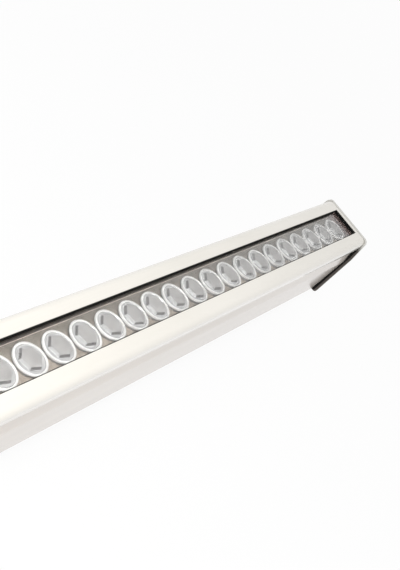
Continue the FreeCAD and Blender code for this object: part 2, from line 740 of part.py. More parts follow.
def make_led_row(index):
    """The LED packages of one board, each a square base with a dome."""
    body = new_body(f"led_row_{index + 1}", x=board_start(index), z="place.front")
    base = new_sketch(body, "led_base", "XY_Plane", "-place.board_top")
    half = "size.led_width / 2"
    add_rectangle(base, f"-{half}", f"-{half}", half, half)
    base_pad = pad(body, base, "size.led_base_height")
    dome = new_sketch(body, "led_dome", "XZ_Plane")
    level = "(size.led_base_height - place.board_top)"
    radius = "size.led_dome_radius"
    add_outline(
        dome,
        [
            ("0", level),
            (radius, level),
            (f"0.87 * {radius}", f"{level} + 0.5 * {radius}"),
            (f"0.5 * {radius}", f"{level} + 0.87 * {radius}"),
            ("0", f"{level} + {radius}"),
        ],
    )
    dome_turned = revolve(body, dome)
    row_along_x(body, [base_pad, dome_turned], "place.lens_pitch", "size.board_lenses")


def make_board(index):
    """One aluminium circuit board with its screw holes."""
    body = new_body(f"led_board_{index + 1}", x=board_start(index), z="place.front")
    sheet = new_sketch(body, "board_sheet", "XY_Plane", "-place.deck_top")
    low = "-(place.lens_pitch - size.board_gap) / 2"
    high = "place.board_pitch - (place.lens_pitch + size.board_gap) / 2"
    across = "place.board_half"
    add_rectangle(sheet, low, f"-{across}", high, across)
    pad(body, sheet, "size.board_thickness")
    holes = new_sketch(body, "board_holes", "XY_Plane", "-place.board_top")
    for x, y in board_screw_spots("0"):
        add_circle(holes, "size.board_screw_radius + size.hole_fit", x, y)
    pocket(body, holes, "size.board_thickness", side="One side")


def make_board_screws():
    """Pan-head screws that pull the boards onto the deck."""
    body = new_body("board_screws", z="place.front")
    spots = []
    for index in boards():
        spots += board_screw_spots(board_start(index))
    shanks = new_sketch(body, "board_screw_shanks", "XY_Plane", "-place.deck_bottom")
    heads = new_sketch(body, "board_screw_heads", "XY_Plane", "-place.board_top")
    for x, y in spots:
        add_circle(shanks, "size.board_screw_radius", x, y)
        add_circle(heads, "size.board_screw_head", x, y)
    pad(body, shanks, "place.deck_bottom - place.board_top")
    pad(body, heads, "size.board_screw_head_height")


# ---------------------------------------------------------------- ends


def plate_outline(sketch, back_half, inset):
    """Outline of an end plate, or of its seal when inset."""
    half = [
        (back_half, f"-(place.body_depth - {inset})"),
        (back_half, "-place.plate_flare"),
        (f"place.plate_front_half - {inset}", f"-(size.plate_setback + {inset})"),
    ]
    add_outline(sketch, mirrored(half))


def round_plate(body, back_half, inset, front_radius):
    """Round the corners of an end plate or seal, front and back."""
    front = f"place.plate_front_half - {inset}"
    front_level = f"-(size.plate_setback + {inset})"
    back_level = f"-(place.body_depth - {inset})"
    round_edges(
        body,
        front_radius,
        lambda point: near(abs(point.y), front) and near(point.z, front_level),
        ALONG_X,
    )
    round_edges(
        body,
        f"size.plate_back_radius - {inset}",
        lambda point: near(abs(point.y), back_half) and near(point.z, back_level),
        ALONG_X,
    )


def make_end_seal(side, sign):
    """Black rubber sheet that seals the profile's end; it shows all round."""
    body = new_body(f"end_seal_{side}", x=f"{sign} * place.half_profile", z="place.front")
    turn_for_side(body, sign)
    sheet = new_sketch(body, "seal_outline", "YZ_Plane")
    plate_outline(sheet, "place.seal_back_half", "size.seal_inset")
    pad(body, sheet, "size.seal_thickness")
    holes = new_sketch(body, "seal_holes", "YZ_Plane")
    add_circle(holes, "place.gland_thread + size.hole_fit", "0", "-place.gland_level")
    for x, y in port_centres():
        add_circle(holes, "size.end_screw_radius + size.hole_fit", x, y)
    pocket(body, holes)
    round_plate(body, "place.seal_back_half", "size.seal_inset", "size.seal_corner_radius")


def make_end_plate(side, sign):
    """Cast end plate, a little larger than the profile, with counterbored screws."""
    inner = "(place.half_profile + size.seal_thickness)"
    body = new_body(f"end_plate_{side}", x=f"{sign} * {inner}", z="place.front")
    turn_for_side(body, sign)
    sheet = new_sketch(body, "plate_outline", "YZ_Plane")
    plate_outline(sheet, "place.plate_back_half", "0")
    pad(body, sheet, "size.plate_thickness")
    holes = new_sketch(body, "plate_holes", "YZ_Plane")
    add_circle(holes, "place.gland_thread + size.hole_fit", "0", "-place.gland_level")
    heads = new_sketch(body, "plate_counterbores", "YZ_Plane", "size.plate_thickness")
    for x, y in port_centres():
        add_circle(holes, "size.end_screw_radius + size.hole_fit", x, y)
        add_circle(heads, "size.end_screw_head + size.hole_fit", x, y)
    pocket(body, holes)
    pocket(body, heads, "size.end_screw_head_height", side="One side")
    round_plate(body, "place.plate_back_half", "0", "size.plate_corner_radius")
    round_outer_rim(body)


def round_outer_rim(body):
    """Round the rim of the end plate's outer face, but not its holes."""
    base = body.Tip
    shape = base.Shape
    face = max(shape.Faces, key=lambda item: item.CenterOfMass.x)
    names = [
        f"Edge{number}"
        for number, edge in enumerate(shape.Edges, start=1)
        if any(edge.isSame(other) for other in face.OuterWire.Edges)
    ]
    feature = body.newObject("PartDesign::Fillet", body.Label + "_rim")
    feature.Base = (base, names)
    feature.setExpression("Radius", "size.plate_edge_radius")
    keep(body, feature)


def make_end_screws(side, sign):
    """Four socket screws through the end plate into the profile's screw ports."""
    body = new_body(f"end_screws_{side}", x=f"{sign} * place.half_length", z="place.front")
    turn_for_side(body, sign)
    seat = "(-size.end_screw_head_height)"
    length = "place.plate_and_seal - size.end_screw_head_height + size.end_screw_grip"
    shanks = new_sketch(body, "end_screw_shanks", "YZ_Plane", seat)
    heads = new_sketch(body, "end_screw_heads", "YZ_Plane", seat)
    sockets = new_sketch(body, "end_screw_sockets", "YZ_Plane")
    for x, y in port_centres():
        add_circle(shanks, "size.end_screw_radius", x, y)
        add_circle(heads, "size.end_screw_head", x, y)
        add_hexagon(sockets, "size.end_screw_socket * 2 / sqrt(3)", x, y)
    pad(body, shanks, length, backwards=True)
    pad(body, heads, "size.end_screw_head_height")
    pocket(body, sockets, "size.end_screw_socket_depth", side="One side")


def gland_piece(name, side, sign):
    """A body whose X = 0 is the end plate's outer face, on the gland's axis."""
    body = new_body(
        f"{name}_{side}",
        x=f"{sign} * place.half_length",
        z="place.front - place.gland_level",
    )
    turn_for_side(body, sign)
    return body


def add_ring(body, name, outer, inner, start, length, hexagonal=False):
    """A round or hexagonal ring along X, from a start and of a length."""
    sketch = new_sketch(body, name, "YZ_Plane", start)
    if hexagonal:
        add_hexagon(sketch, outer)
    else:
        add_circle(sketch, outer)
    add_circle(sketch, inner)
    return pad(body, sketch, length)


def make_gland(side, sign):
    """Cable gland: body, flat seal, rubber sleeve, cap nut and lock nut."""
    thread = "place.gland_thread"
    bore = "place.gland_bore"
    hexagon = "place.gland_hex"
    flange_start = "size.gland_seal_height"
    nose_start = f"({flange_start} + size.gland_flange)"
    body = gland_piece("gland_body", side, sign)
    add_ring(body, "gland_flange", hexagon, bore, flange_start, "size.gland_flange", True)
    add_ring(body, "gland_nose", thread, bore, nose_start, "size.gland_nose")
    tail = f"(place.gland_tail + {flange_start})"
    add_ring(body, "gland_tail", thread, bore, "-place.gland_tail", tail)

    body = gland_piece("gland_seal", side, sign)
    outer = f"{hexagon} * sqrt(3) / 2"
    inner = f"{thread} + size.seat_fit"
    add_ring(body, "seal_ring", outer, inner, "0", "size.gland_seal_height")

    body = gland_piece("gland_nut", side, sign)
    start = "-(place.plate_and_seal + size.gland_nut_height)"
    inner = f"{thread} + size.screw_fit"
    add_ring(body, "lock_nut", hexagon, inner, start, "size.gland_nut_height", True)

    body = gland_piece("gland_sleeve", side, sign)
    cap_length = "(size.gland_cap_hexagon + size.gland_cap_dome)"
    start = f"({nose_start} + size.sleeve_setback)"
    length = f"{cap_length} - size.sleeve_setback"
    add_ring(
        body, "sleeve", "place.sleeve_radius", "size.cable_hole_radius", start, length
    )

    body = gland_piece("gland_cap", side, sign)
    cap_start = f"({nose_start} + size.seat_fit)"
    inner = f"{thread} + size.screw_fit"
    grip = "size.gland_cap_hexagon"
    add_ring(body, "cap_hexagon", hexagon, inner, cap_start, grip, True)
    outer = f"{hexagon} * sqrt(3) / 2 - size.gland_cap_step"
    add_ring(
        body, "cap_dome", outer, bore, f"({cap_start} + {grip})", "size.gland_cap_dome"
    )
    room = new_sketch(body, "cap_thread", "YZ_Plane", cap_start)
    add_circle(room, inner)
    pocket(body, room, "size.gland_nose", side="One side", backwards=True)
    round_edges(
        body,
        "size.gland_cap_rounding",
        lambda point: near(point.x, f"{cap_start} + {cap_length}")
        and near(math.hypot(point.y, point.z), outer),
    )


# ---------------------------------------------------------------- driver


def make_driver():
    """LED driver on the room's floor: thermal pad, case, circuit board and lid."""
    floor = "place.front - place.floor_top"
    long = "size.driver_length / 2"
    wide = "place.driver_half"
    wall = "size.driver_wall"
    body = new_body("driver_pad", z=floor)
    sheet = new_sketch(body, "pad_sheet", "XY_Plane")
    along = f"({long} - size.driver_pad_inset)"
    across = f"({wide} - size.driver_pad_inset)"
    add_rectangle(sheet, f"-{along}", f"-{across}", along, across)
    pad(body, sheet, "size.driver_pad")

    body = new_body("driver_case", z=f"{floor} + size.driver_pad")
    block = new_sketch(body, "case_block", "XY_Plane")
    add_rectangle(block, f"-{long}", f"-{wide}", long, wide)
    case_height = f"(size.driver_height - {wall})"
    pad(body, block, case_height)
    room = new_sketch(body, "case_room", "XY_Plane", case_height)
    inner_long = f"({long} - {wall})"
    inner_wide = f"({wide} - {wall})"
    add_rectangle(room, f"-{inner_long}", f"-{inner_wide}", inner_long, inner_wide)
    pocket(body, room, f"{case_height} - {wall}", side="One side")
    wires = new_sketch(body, "wire_holes", "YZ_Plane")
    add_circle(wires, "size.cable_hole_radius", "0", f"{case_height} / 2")
    pocket(body, wires)

    body = new_body("driver_board", z=f"{floor} + size.driver_pad")
    sheet = new_sketch(body, "driver_board_sheet", "XY_Plane", f"{wall} + size.driver_post")
    along = f"({inner_long} - size.driver_board_end)"
    across = f"({inner_wide} - size.seat_fit)"
    add_rectangle(sheet, f"-{along}", f"-{across}", along, across)
    pad(body, sheet, "size.board_thickness")
    posts = new_sketch(body, "driver_posts", "XY_Plane", wall)
    post = "size.driver_post_radius"
    for sign_x, sign_y in QUADRANTS:
        x = f"{sign_x} * ({along} - 2 * {post})"
        y = f"{sign_y} * ({across} - 2 * {post})"
        add_circle(posts, post, x, y)
    pad(body, posts, "size.driver_post")
    add_driver_parts(body, across, f"({wall} + size.driver_post + size.board_thickness)")

    body = new_body("driver_lid", z=f"{floor} + size.driver_pad + {case_height}")
    lid = new_sketch(body, "lid_sheet", "XY_Plane")
    add_rectangle(lid, f"-{long}", f"-{wide}", long, wide)
    pad(body, lid, wall)


def add_driver_parts(body, board_across, board_top):
    """Transformer in the middle of the board, a choke and capacitors on each side."""
    parts = new_sketch(body, "transformer_and_chokes", "XY_Plane", board_top)
    across = f"({board_across} - size.driver_part_gap)"
    blocks = [("0", "size.transformer_length / 2")]
    for side in (-1, 1):
        blocks.append((f"{side} * size.driver_length / 5", "size.choke_length / 2"))
    for middle, half in blocks:
        add_rectangle(
            parts, f"{middle} - {half}", f"-{across}", f"{middle} + {half}", across
        )
    for side in (-1, 1):
        add_circle(parts, "size.capacitor_radius", f"{side} * size.driver_length / 3")
    height = f"size.driver_height - size.driver_wall - {board_top} - size.driver_part_gap"
    pad(body, parts, height)


def make_terminal_block():
    """Pillar terminals where the mains cable ends, with a hole for each core."""
    along = "-(place.half_profile - size.terminal_end_gap)"
    body = new_body("terminal_block", x=along, z="place.front - place.floor_top")
    block = new_sketch(body, "terminal_body", "XY_Plane")
    half_length = "size.terminal_length / 2"
    half_width = "size.terminal_width / 2"
    add_rectangle(block, f"-{half_length}", f"-{half_width}", half_length, half_width)
    pad(body, block, "size.terminal_height")
    cores = new_sketch(body, "core_holes", "YZ_Plane")
    screws = new_sketch(body, "terminal_screws", "XY_Plane", "size.terminal_height")
    pitch = "(size.terminal_width / size.terminal_poles)"
    for pole in range(int(value("size.terminal_poles"))):
        across = f"({pole} + 0.5) * {pitch} - {half_width}"
        add_circle(cores, "size.terminal_hole_radius", across, "size.terminal_height / 3")
        for end in (-1, 1):
            along = f"{end} * size.terminal_length / 4"
            add_circle(screws, "size.terminal_hole_radius", along, across)
    pocket(body, cores)
    pocket(body, screws, "size.terminal_height / 2", side="One side")


# ---------------------------------------------------------------- feet


def pivot_piece(name, side, sign):
    """A body whose origin is the middle of its foot's tilt axis."""
    body = new_body(
        f"{name}_{side}", x=f"{sign} * size.foot_spacing / 2", z="size.pivot_height"
    )
    turn_for_side(body, sign)
    return body


def ear_outline(sketch, radius, low, width):
    """Upright outline with a round end about the tilt axis, down or up to a level."""
    wide = value(width)
    base = value(low)
    normal = Vector(0, 0, 1)
    circle = Part.Circle(Vector(0, 0, 0), normal, value(radius))
    arc = (0, math.pi) if base < 0 else (math.pi, 2 * math.pi)
    first = sketch.addGeometry(Part.ArcOfCircle(circle, *arc))
    end = -wide if base < 0 else wide
    corners = [(end, 0), (end, base), (-end, base), (-end, 0)]
    for start, stop in zip(corners, corners[1:]):
        sketch.addGeometry(Part.LineSegment(Vector(*start, 0), Vector(*stop, 0)))
    for step in range(4):
        following = first + (step + 1) % 4
        sketch.addConstraint(
            Sketcher.Constraint("Coincident", first + step, 2, following, 1)
        )
    fix_point(sketch, first, 3, "0", "0")
    size = sketch.addConstraint(Sketcher.Constraint("Radius", first, value(radius)))
    sketch.setExpression(f"Constraints[{size}]", radius)
    sketch.addConstraint(Sketcher.Constraint("Vertical", first + 1))
    sketch.addConstraint(Sketcher.Constraint("Vertical", first + 3))
    sketch.addConstraint(Sketcher.Constraint("Horizontal", first + 2))
    sketch.addConstraint(Sketcher.Constraint("PointOnObject", first + 1, 1, -1))
    sketch.addConstraint(Sketcher.Constraint("PointOnObject", first + 3, 2, -1))
    level = sketch.addConstraint(
        Sketcher.Constraint("DistanceY", -1, 1, first + 2, 1, base)
    )
    sketch.setExpression(f"Constraints[{level}]", low)


def make_foot(side, sign):
    """Steel foot: slotted plate with two upright ears for the tilt bolt."""
    body = pivot_piece("foot", side, sign)
    plate = new_sketch(body, "foot_plate", "XY_Plane", "-size.pivot_height")
    along = "place.foot_half"
    across = "size.foot_width / 2"
    add_rectangle(plate, f"-{along}", f"-{across}", along, across)
    pad(body, plate, "size.foot_plate")
    round_edges(
        body,
        "size.foot_corner_radius",
        lambda point: near(abs(point.x), along) and near(abs(point.y), across),
        UPRIGHT,
    )
    ears = new_sketch(body, "foot_ears", "YZ_Plane")
    ear_outline(ears, "place.ear_radius", "-size.pivot_height", "place.ear_radius")
    pad(body, ears, "2 * place.ear_out", side="Symmetric")
    gap = new_sketch(body, "ear_gap", "XZ_Plane")
    half_gap = "size.ear_gap / 2"
    low = "size.foot_plate - size.pivot_height"
    add_rectangle(gap, f"-{half_gap}", low, half_gap, "2 * place.ear_radius")
    pocket(body, gap)
    bore = new_sketch(body, "bolt_holes", "YZ_Plane")
    add_circle(bore, "size.pivot_radius + size.hole_fit")
    pocket(body, bore)
    slots = new_sketch(body, "screw_slots", "XY_Plane", "-size.pivot_height")
    for end in (-1, 1):
        centre = f"{end} * place.foot_slot_x"
        add_slot(slots, centre, "size.foot_slot_length", "size.foot_slot_radius")
    pocket(body, slots)


def make_slider(side, sign):
    """Slider: plate under the mounting slot, with a lug that the foot tilts on."""
    body = pivot_piece("slider", side, sign)
    plate = new_sketch(body, "slider_plate", "XY_Plane", "place.slider_top")
    along = "place.slider_half"
    across = "size.slider_width / 2"
    add_rectangle(plate, f"-{along}", f"-{across}", along, across)
    pad(body, plate, "size.slider_plate", backwards=True)
    round_edges(
        body,
        "size.slider_corner_radius",
        lambda point: near(abs(point.x), along) and near(abs(point.y), across),
        UPRIGHT,
    )
    lug = new_sketch(body, "slider_lug", "YZ_Plane")
    ear_outline(lug, "place.ear_radius", "place.slider_top", "place.ear_radius")
    pad(body, lug, "size.ear_gap - 2 * size.slide_fit", side="Symmetric")
    bore = new_sketch(body, "tilt_bore", "YZ_Plane")
    add_circle(bore, "size.pivot_radius + size.pivot_fit")
    pocket(body, bore)
    holes = new_sketch(body, "slider_screw_holes", "XY_Plane")
    for end in (-1, 1):
        centre = f"{end} * place.slider_screw_x"
        add_circle(holes, "size.slider_screw_radius + size.hole_fit", centre)
    pocket(body, holes)
    cut_countersinks(body)


def cut_countersinks(body):
    """Countersinks in the slider plate's underside, one at each screw."""
    sketch = new_sketch(body, "countersink", "XZ_Plane")
    half = "place.slider_screw_x"
    head = "(size.slider_screw_head + size.hole_fit)"
    shank = "(size.slider_screw_radius + size.hole_fit)"
    under = "place.slider_under"
    add_outline(
        sketch,
        [
            (half, under),
            (f"{half} + {head}", under),
            (f"{half} + {shank}", f"{under} + {head} - {shank}"),
            (half, f"{under} + {head} - {shank}"),
        ],
    )
    doc.recompute()
    before = body.Shape.Volume
    groove = body.newObject("PartDesign::Groove", "countersink_cut")
    groove.Profile = sketch
    groove.ReferenceAxis = (sketch, ["Edge4"])
    groove.Angle = 360
    keep(body, groove)
    row = body.newObject("PartDesign::PolarPattern", "countersink_pair")
    row.Originals = [groove]
    row.Axis = (origin_feature(body, "Z_Axis"), [""])
    row.Angle = 360
    row.Occurrences = 2
    keep(body, row)
    if not body.Shape.Volume < before:
        raise ValueError("countersinks cut nothing")


def make_slider_screws(side, sign):
    """Two countersunk screws from the slider plate up into the nut bar."""
    body = pivot_piece("slider_screws", side, sign)
    top = "(place.slider_top + size.slide_fit + size.slot_lip + size.nut_bar_thickness)"
    under = "place.slider_under"
    head = new_sketch(body, "slider_screw", "XZ_Plane")
    radius = "size.slider_screw_radius"
    cone = f"{under} + size.slider_screw_head - {radius}"
    add_outline(
        head,
        [
            ("0", under),
            ("size.slider_screw_head", under),
            (radius, cone),
            (radius, top),
            ("0", top),
        ],
    )
    turned = revolve(body, head)
    socket = new_sketch(body, "slider_screw_socket", "XY_Plane", under)
    add_hexagon(socket, "size.slider_screw_socket * 2 / sqrt(3)")
    depth = "size.slider_screw_head - size.slider_screw_radius"
    cut = pocket(body, socket, depth, side="One side", backwards=True)
    row_along_x(body, [turned, cut], "2 * place.slider_screw_x", "2")
    first = f"{sign} * (size.foot_spacing / 2 - place.slider_screw_x)"
    body.setExpression("Placement.Base.x", first)


def make_nut_bar(side, sign):
    """Nut bar that runs in the mounting slot, threaded for the slider's screws."""
    body = pivot_piece("nut_bar", side, sign)
    low = "(place.slider_top + size.slide_fit + size.slot_lip + size.slide_fit)"
    bar = new_sketch(body, "nut_bar_block", "XY_Plane", low)
    along = "place.nut_bar_half"
    across = "(size.slot_width / 2 - size.slide_fit)"
    add_rectangle(bar, f"-{along}", f"-{across}", along, across)
    pad(body, bar, "size.nut_bar_thickness")
    holes = new_sketch(body, "nut_bar_threads", "XY_Plane")
    for end in (-1, 1):
        centre = f"{end} * place.slider_screw_x"
        add_circle(holes, "size.slider_screw_radius + size.screw_fit", centre)
    pocket(body, holes)


def make_pivot_hardware(side, sign):
    """Tilt bolt with two washers and a nut, through the ears and the lug."""
    washer = "size.pivot_washer"
    radius = "size.pivot_radius"
    head_start = f"-(place.ear_out + {washer} + size.pivot_head_height)"
    nut_end = f"(place.ear_out + {washer} + size.pivot_nut_height)"
    body = pivot_piece("pivot_bolt", side, sign)
    head = new_sketch(body, "bolt_head", "YZ_Plane", head_start)
    add_hexagon(head, "place.pivot_head")
    pad(body, head, "size.pivot_head_height")
    shank = new_sketch(body, "bolt_shank", "YZ_Plane", head_start)
    add_circle(shank, radius)
    pad(body, shank, f"{nut_end} + size.pivot_thread_end - ({head_start})")

    body = pivot_piece("pivot_washers", side, sign)
    for name, start in (("near", f"-(place.ear_out + {washer})"), ("far", "place.ear_out")):
        inner = f"{radius} + size.hole_fit"
        add_ring(body, f"{name}_washer", "place.pivot_washer_radius", inner, start, washer)

    body = pivot_piece("pivot_nut", side, sign)
    start = f"(place.ear_out + {washer})"
    inner = f"{radius} + size.screw_fit"
    hexagon = "place.pivot_head"
    add_ring(body, "nut_ring", hexagon, inner, start, "size.pivot_nut_height", True)


# ---------------------------------------------------------------- assembly


def check_model():
    """Stop on a failed object or a sub-part with no valid solid."""
    for item in doc.Objects:
        if "Invalid" in item.State or "Error" in item.State:
            raise ValueError(f"{item.Label}: {item.State}")
    for body in nodes:
        shape = body.Shape
        if shape.isNull() or not shape.isValid() or not shape.Solids:
            raise ValueError(f"{body.Label} has no valid solid")


make_housing()
make_front_cover()
make_glass_gasket()
make_front_glass()
make_lens_tray()
for board in boards():
    make_lens_row(board)
    make_led_row(board)
    make_board(board)
make_board_screws()
for side, sign in SIDES:
    make_end_seal(side, sign)
    make_end_plate(side, sign)
    make_end_screws(side, sign)
    make_gland(side, sign)
make_driver()
make_terminal_block()
for side, sign in SIDES:
    make_nut_bar(side, sign)
    make_slider(side, sign)
    make_slider_screws(side, sign)
    make_foot(side, sign)
    make_pivot_hardware(side, sign)

doc.recompute()
check_model()
os.makedirs("parts", exist_ok=True)
for body in nodes:
    body.Shape.exportStep(f"parts/{body.Label}.step")
    print(body.Label, len(body.Shape.Solids), round(body.Shape.Volume / 1000, 2), "cm3")
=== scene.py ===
"""Looks of the outdoor wall washer light: finishes, detailed lenses, light and camera.

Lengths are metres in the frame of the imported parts: X along the fitting, +Z the way the
light shines, feet on Z = 0. Shape values that are easier to read in millimetres carry MM.
"""
import json
import math

import bmesh
import bpy
from mathutils import Matrix, Vector


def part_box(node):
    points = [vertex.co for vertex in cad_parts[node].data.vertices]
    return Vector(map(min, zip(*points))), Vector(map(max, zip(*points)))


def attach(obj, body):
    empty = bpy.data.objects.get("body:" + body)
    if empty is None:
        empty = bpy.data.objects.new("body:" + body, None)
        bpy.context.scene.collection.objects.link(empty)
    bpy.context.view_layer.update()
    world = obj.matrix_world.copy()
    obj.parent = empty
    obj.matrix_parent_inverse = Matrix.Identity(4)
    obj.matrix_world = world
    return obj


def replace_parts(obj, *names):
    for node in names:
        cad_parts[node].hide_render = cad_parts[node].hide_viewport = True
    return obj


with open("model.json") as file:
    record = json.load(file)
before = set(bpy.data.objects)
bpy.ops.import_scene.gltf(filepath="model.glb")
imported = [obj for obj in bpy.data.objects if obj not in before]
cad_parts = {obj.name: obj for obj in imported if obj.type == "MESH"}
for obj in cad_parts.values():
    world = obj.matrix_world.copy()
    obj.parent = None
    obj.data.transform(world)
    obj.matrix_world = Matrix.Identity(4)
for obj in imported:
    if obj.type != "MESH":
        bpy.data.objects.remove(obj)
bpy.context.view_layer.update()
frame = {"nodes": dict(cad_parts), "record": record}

MM = 0.001
NODES = frame["nodes"]
SIDES = (("left", -1), ("right", 1))


# ---------------------------------------------------------------- material helpers

NOISE_RANGE = (0.3, 0.7)


class Surface:
    """A material with one Principled shader, and the patterns that feed it."""

    def __init__(self, name, roughness=0.5, metallic=0.0, **sockets):
        self.material = bpy.data.materials.new(name)
        self.material.use_nodes = True
        self.tree = self.material.node_tree
        self.shader = self.tree.nodes["Principled BSDF"]
        self.set("Roughness", roughness)
        self.set("Metallic", metallic)
        for socket, value in sockets.items():
            self.set(socket.replace("_", " "), value)
        self.place = self.tree.nodes.new("ShaderNodeTexCoord").outputs["Object"]

    def set(self, socket, value):
        self.shader.inputs[socket].default_value = value

    def link(self, source, target):
        self.tree.links.new(source, target)

    def node(self, kind, inputs=(), **settings):
        node = self.tree.nodes.new(kind)
        for key, value in settings.items():
            setattr(node, key, value)
        for key, value in dict(inputs).items():
            if isinstance(value, bpy.types.NodeSocket):
                self.link(value, node.inputs[key])
            else:
                node.inputs[key].default_value = value
        return node

    def scaled(self, scale):
        """Object coordinates times a scale for each axis, in cells per metre."""
        return self.node("ShaderNodeMapping", {"Vector": self.place, "Scale": scale}).outputs[0]

    def noise(self, scale, detail=3.0, rough=0.55):
        inputs = {"Vector": self.scaled(scale), "Scale": 1.0, "Detail": detail, "Roughness": rough}
        return self.node("ShaderNodeTexNoise", inputs).outputs["Fac"]

    def cells(self, scale):
        inputs = {"Vector": self.scaled(scale), "Scale": 1.0}
        return self.node("ShaderNodeTexVoronoi", inputs).outputs["Distance"]

    def math(self, operation, first, second=0.0):
        return self.node("ShaderNodeMath", {0: first, 1: second}, operation=operation).outputs[0]

    def mixed(self, first, second, share):
        """Two patterns in one; share is the second one's part."""
        most = self.math("MULTIPLY", first, 1 - share)
        return self.math("ADD", most, self.math("MULTIPLY", second, share))

    def spread(self, source, low, high, new_low=0.0, new_high=1.0):
        inputs = {0: source, 1: low, 2: high, 3: new_low, 4: new_high}
        return self.node("ShaderNodeMapRange", inputs).outputs[0]

    def blend(self, factor, first, second):
        """Colour that goes from the first to the second as the factor goes from 0 to 1."""
        mix = self.node("ShaderNodeMix", {0: factor}, data_type="RGBA")
        for number, colour in ((6, first), (7, second)):
            if isinstance(colour, bpy.types.NodeSocket):
                self.link(colour, mix.inputs[number])
            else:
                mix.inputs[number].default_value = colour
        return mix.outputs[2]

    def mottle(self, source, shade, tone):
        """Colour from shade to tone over the part of its range that a noise mostly uses."""
        return self.blend(self.spread(source, *NOISE_RANGE), shade, tone)

    def colour(self, source):
        self.link(source, self.shader.inputs["Base Color"])

    def vary_roughness(self, source, low, high):
        level = self.spread(source, *NOISE_RANGE, low, high)
        self.link(level, self.shader.inputs["Roughness"])

    def bump(self, height, depth, strength=1.0):
        """Small relief; the depth is in metres. A second call adds to the first."""
        inputs = {"Height": height, "Distance": depth, "Strength": strength}
        node = self.node("ShaderNodeBump", inputs)
        before = self.shader.inputs["Normal"].links
        if before:
            self.link(before[0].from_socket, node.inputs["Normal"])
        self.link(node.outputs[0], self.shader.inputs["Normal"])

    def axis(self, name):
        split = self.node("ShaderNodeSeparateXYZ", {0: self.place})
        return split.outputs[name]


def rgb(red, green, blue):
    """A colour as it is seen on screen, 0 to 255, in the linear values that shaders use."""

    def linear(level):
        share = level / 255
        return share / 12.92 if share <= 0.04045 else ((share + 0.055) / 1.055) ** 2.4

    return (linear(red), linear(green), linear(blue), 1.0)


# ---------------------------------------------------------------- finishes


def extruded_aluminium(name, tone, shade, roughness, metallic, coat=1.0):
    """Satin anodised extrusion: long die lines, faint clouds and a fine etched grain.

    The coat is the share of clear gloss, which turns pale at a flat angle.
    """
    s = Surface(name, roughness, metallic, Coat_Weight=coat, Coat_Roughness=0.12)
    clouds = s.noise((9, 40, 40), 3)
    lines = s.noise((2.5, 900, 900), 2)
    grain = s.noise((2600, 2600, 2600), 2)
    mixed = s.mixed(clouds, lines, 0.15)
    s.colour(s.mottle(mixed, shade, tone))
    s.vary_roughness(lines, roughness - 0.05, roughness + 0.06)
    s.bump(lines, 0.001 * MM, 0.3)
    s.bump(grain, 0.008 * MM, 0.4)
    return s.material


# Where the pale colour takes over from the dark grey of the inner face: out from that face, and
# back from the front.
PLATE_PALE_START = 0.2 * MM
PLATE_PALE_FULL = MM
FRONT_PALE_START = 14 * MM
FRONT_PALE_FULL = 7 * MM


def cast_aluminium():
    """Die-cast plate: satin coat with soft grain, dark grey on most of the inner face.

    The pale colour starts a little way out from the inner face, and covers it near the front.
    """
    s = Surface("cast_plate", 0.42, 0.3, Coat_Weight=0.3, Coat_Roughness=0.2)
    clouds = s.noise((60, 60, 60), 4)
    grain = s.noise((1500, 1500, 1500), 3)
    coat = s.mottle(clouds, rgb(204, 202, 196), rgb(218, 216, 210))
    dark_inner = s.mottle(clouds, rgb(70, 64, 59), rgb(88, 81, 75))
    inner_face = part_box("end_seal_right")[1].x
    away = s.math("ABSOLUTE", s.axis("X"))
    outward = s.spread(away, inner_face + PLATE_PALE_START, inner_face + PLATE_PALE_FULL)
    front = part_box("end_plate_right")[1].z
    forward = s.spread(s.axis("Z"), front - FRONT_PALE_START, front - FRONT_PALE_FULL)
    s.colour(s.blend(s.math("MAXIMUM", outward, forward), dark_inner, coat))
    s.vary_roughness(grain, 0.36, 0.5)
    s.bump(grain, 0.03 * MM, 0.6)
    return s.material


def coated_steel():
    """Powder coated bracket: orange-peel relief and faint speckle."""
    s = Surface("bracket_coat", 0.45, 0.35, Coat_Weight=0.15, Coat_Roughness=0.3)
    peel = s.noise((700, 700, 700), 2)
    speckle = s.noise((2400, 2400, 2400), 2)
    s.colour(s.blend(s.spread(speckle, 0.35, 0.65), rgb(176, 175, 172), rgb(196, 195, 191)))
    s.vary_roughness(peel, 0.38, 0.52)
    s.bump(peel, 0.05 * MM, 0.5)
    return s.material


def turned_steel(name, tone, shade):
    """Cold formed and turned steel: fine rings, small scratches."""
    s = Surface(name, 0.28, 1.0)
    scratches = s.noise((300, 300, 2600), 3)
    clouds = s.noise((350, 350, 350), 3)
    s.colour(s.mottle(clouds, shade, tone))
    s.vary_roughness(scratches, 0.2, 0.4)
    s.bump(scratches, 0.015 * MM, 0.5)
    return s.material


def rubber(name, painted_tone_below_glass):
    """Black silicone: matt, with a little dust in its grain, turning below the glass to a painted
    shading tone that the caller gives.
    """
    s = Surface(name, 0.8, 0.0, Specular_IOR_Level=0.15)
    dust = s.noise((260, 260, 260), 4)
    grain = s.noise((1800, 1800, 1800), 3)
    black = s.blend(s.spread(dust, 0.35, 0.75), rgb(14, 14, 13), rgb(24, 23, 22))
    glass_low, glass_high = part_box("front_glass")
    # Painted shading: from the glass's front to its back the black fades to the given tone, and
    # stays so below.
    depth = s.spread(s.axis("Z"), glass_high.z, glass_low.z)
    s.colour(s.blend(depth, black, painted_tone_below_glass))
    s.vary_roughness(dust, 0.72, 0.88)
    s.bump(grain, 0.03 * MM, 0.6)
    return s.material


def moulded(name, tone, shade, roughness=0.5):
    """Injection moulded plastic with a fine spark-eroded texture."""
    s = Surface(name, roughness, 0.0)
    clouds = s.noise((140, 140, 140), 3)
    texture = s.cells((1500, 1500, 1500))
    s.colour(s.mottle(clouds, shade, tone))
    s.vary_roughness(clouds, roughness - 0.06, roughness + 0.08)
    s.bump(texture, 0.02 * MM, 0.5)
    return s.material


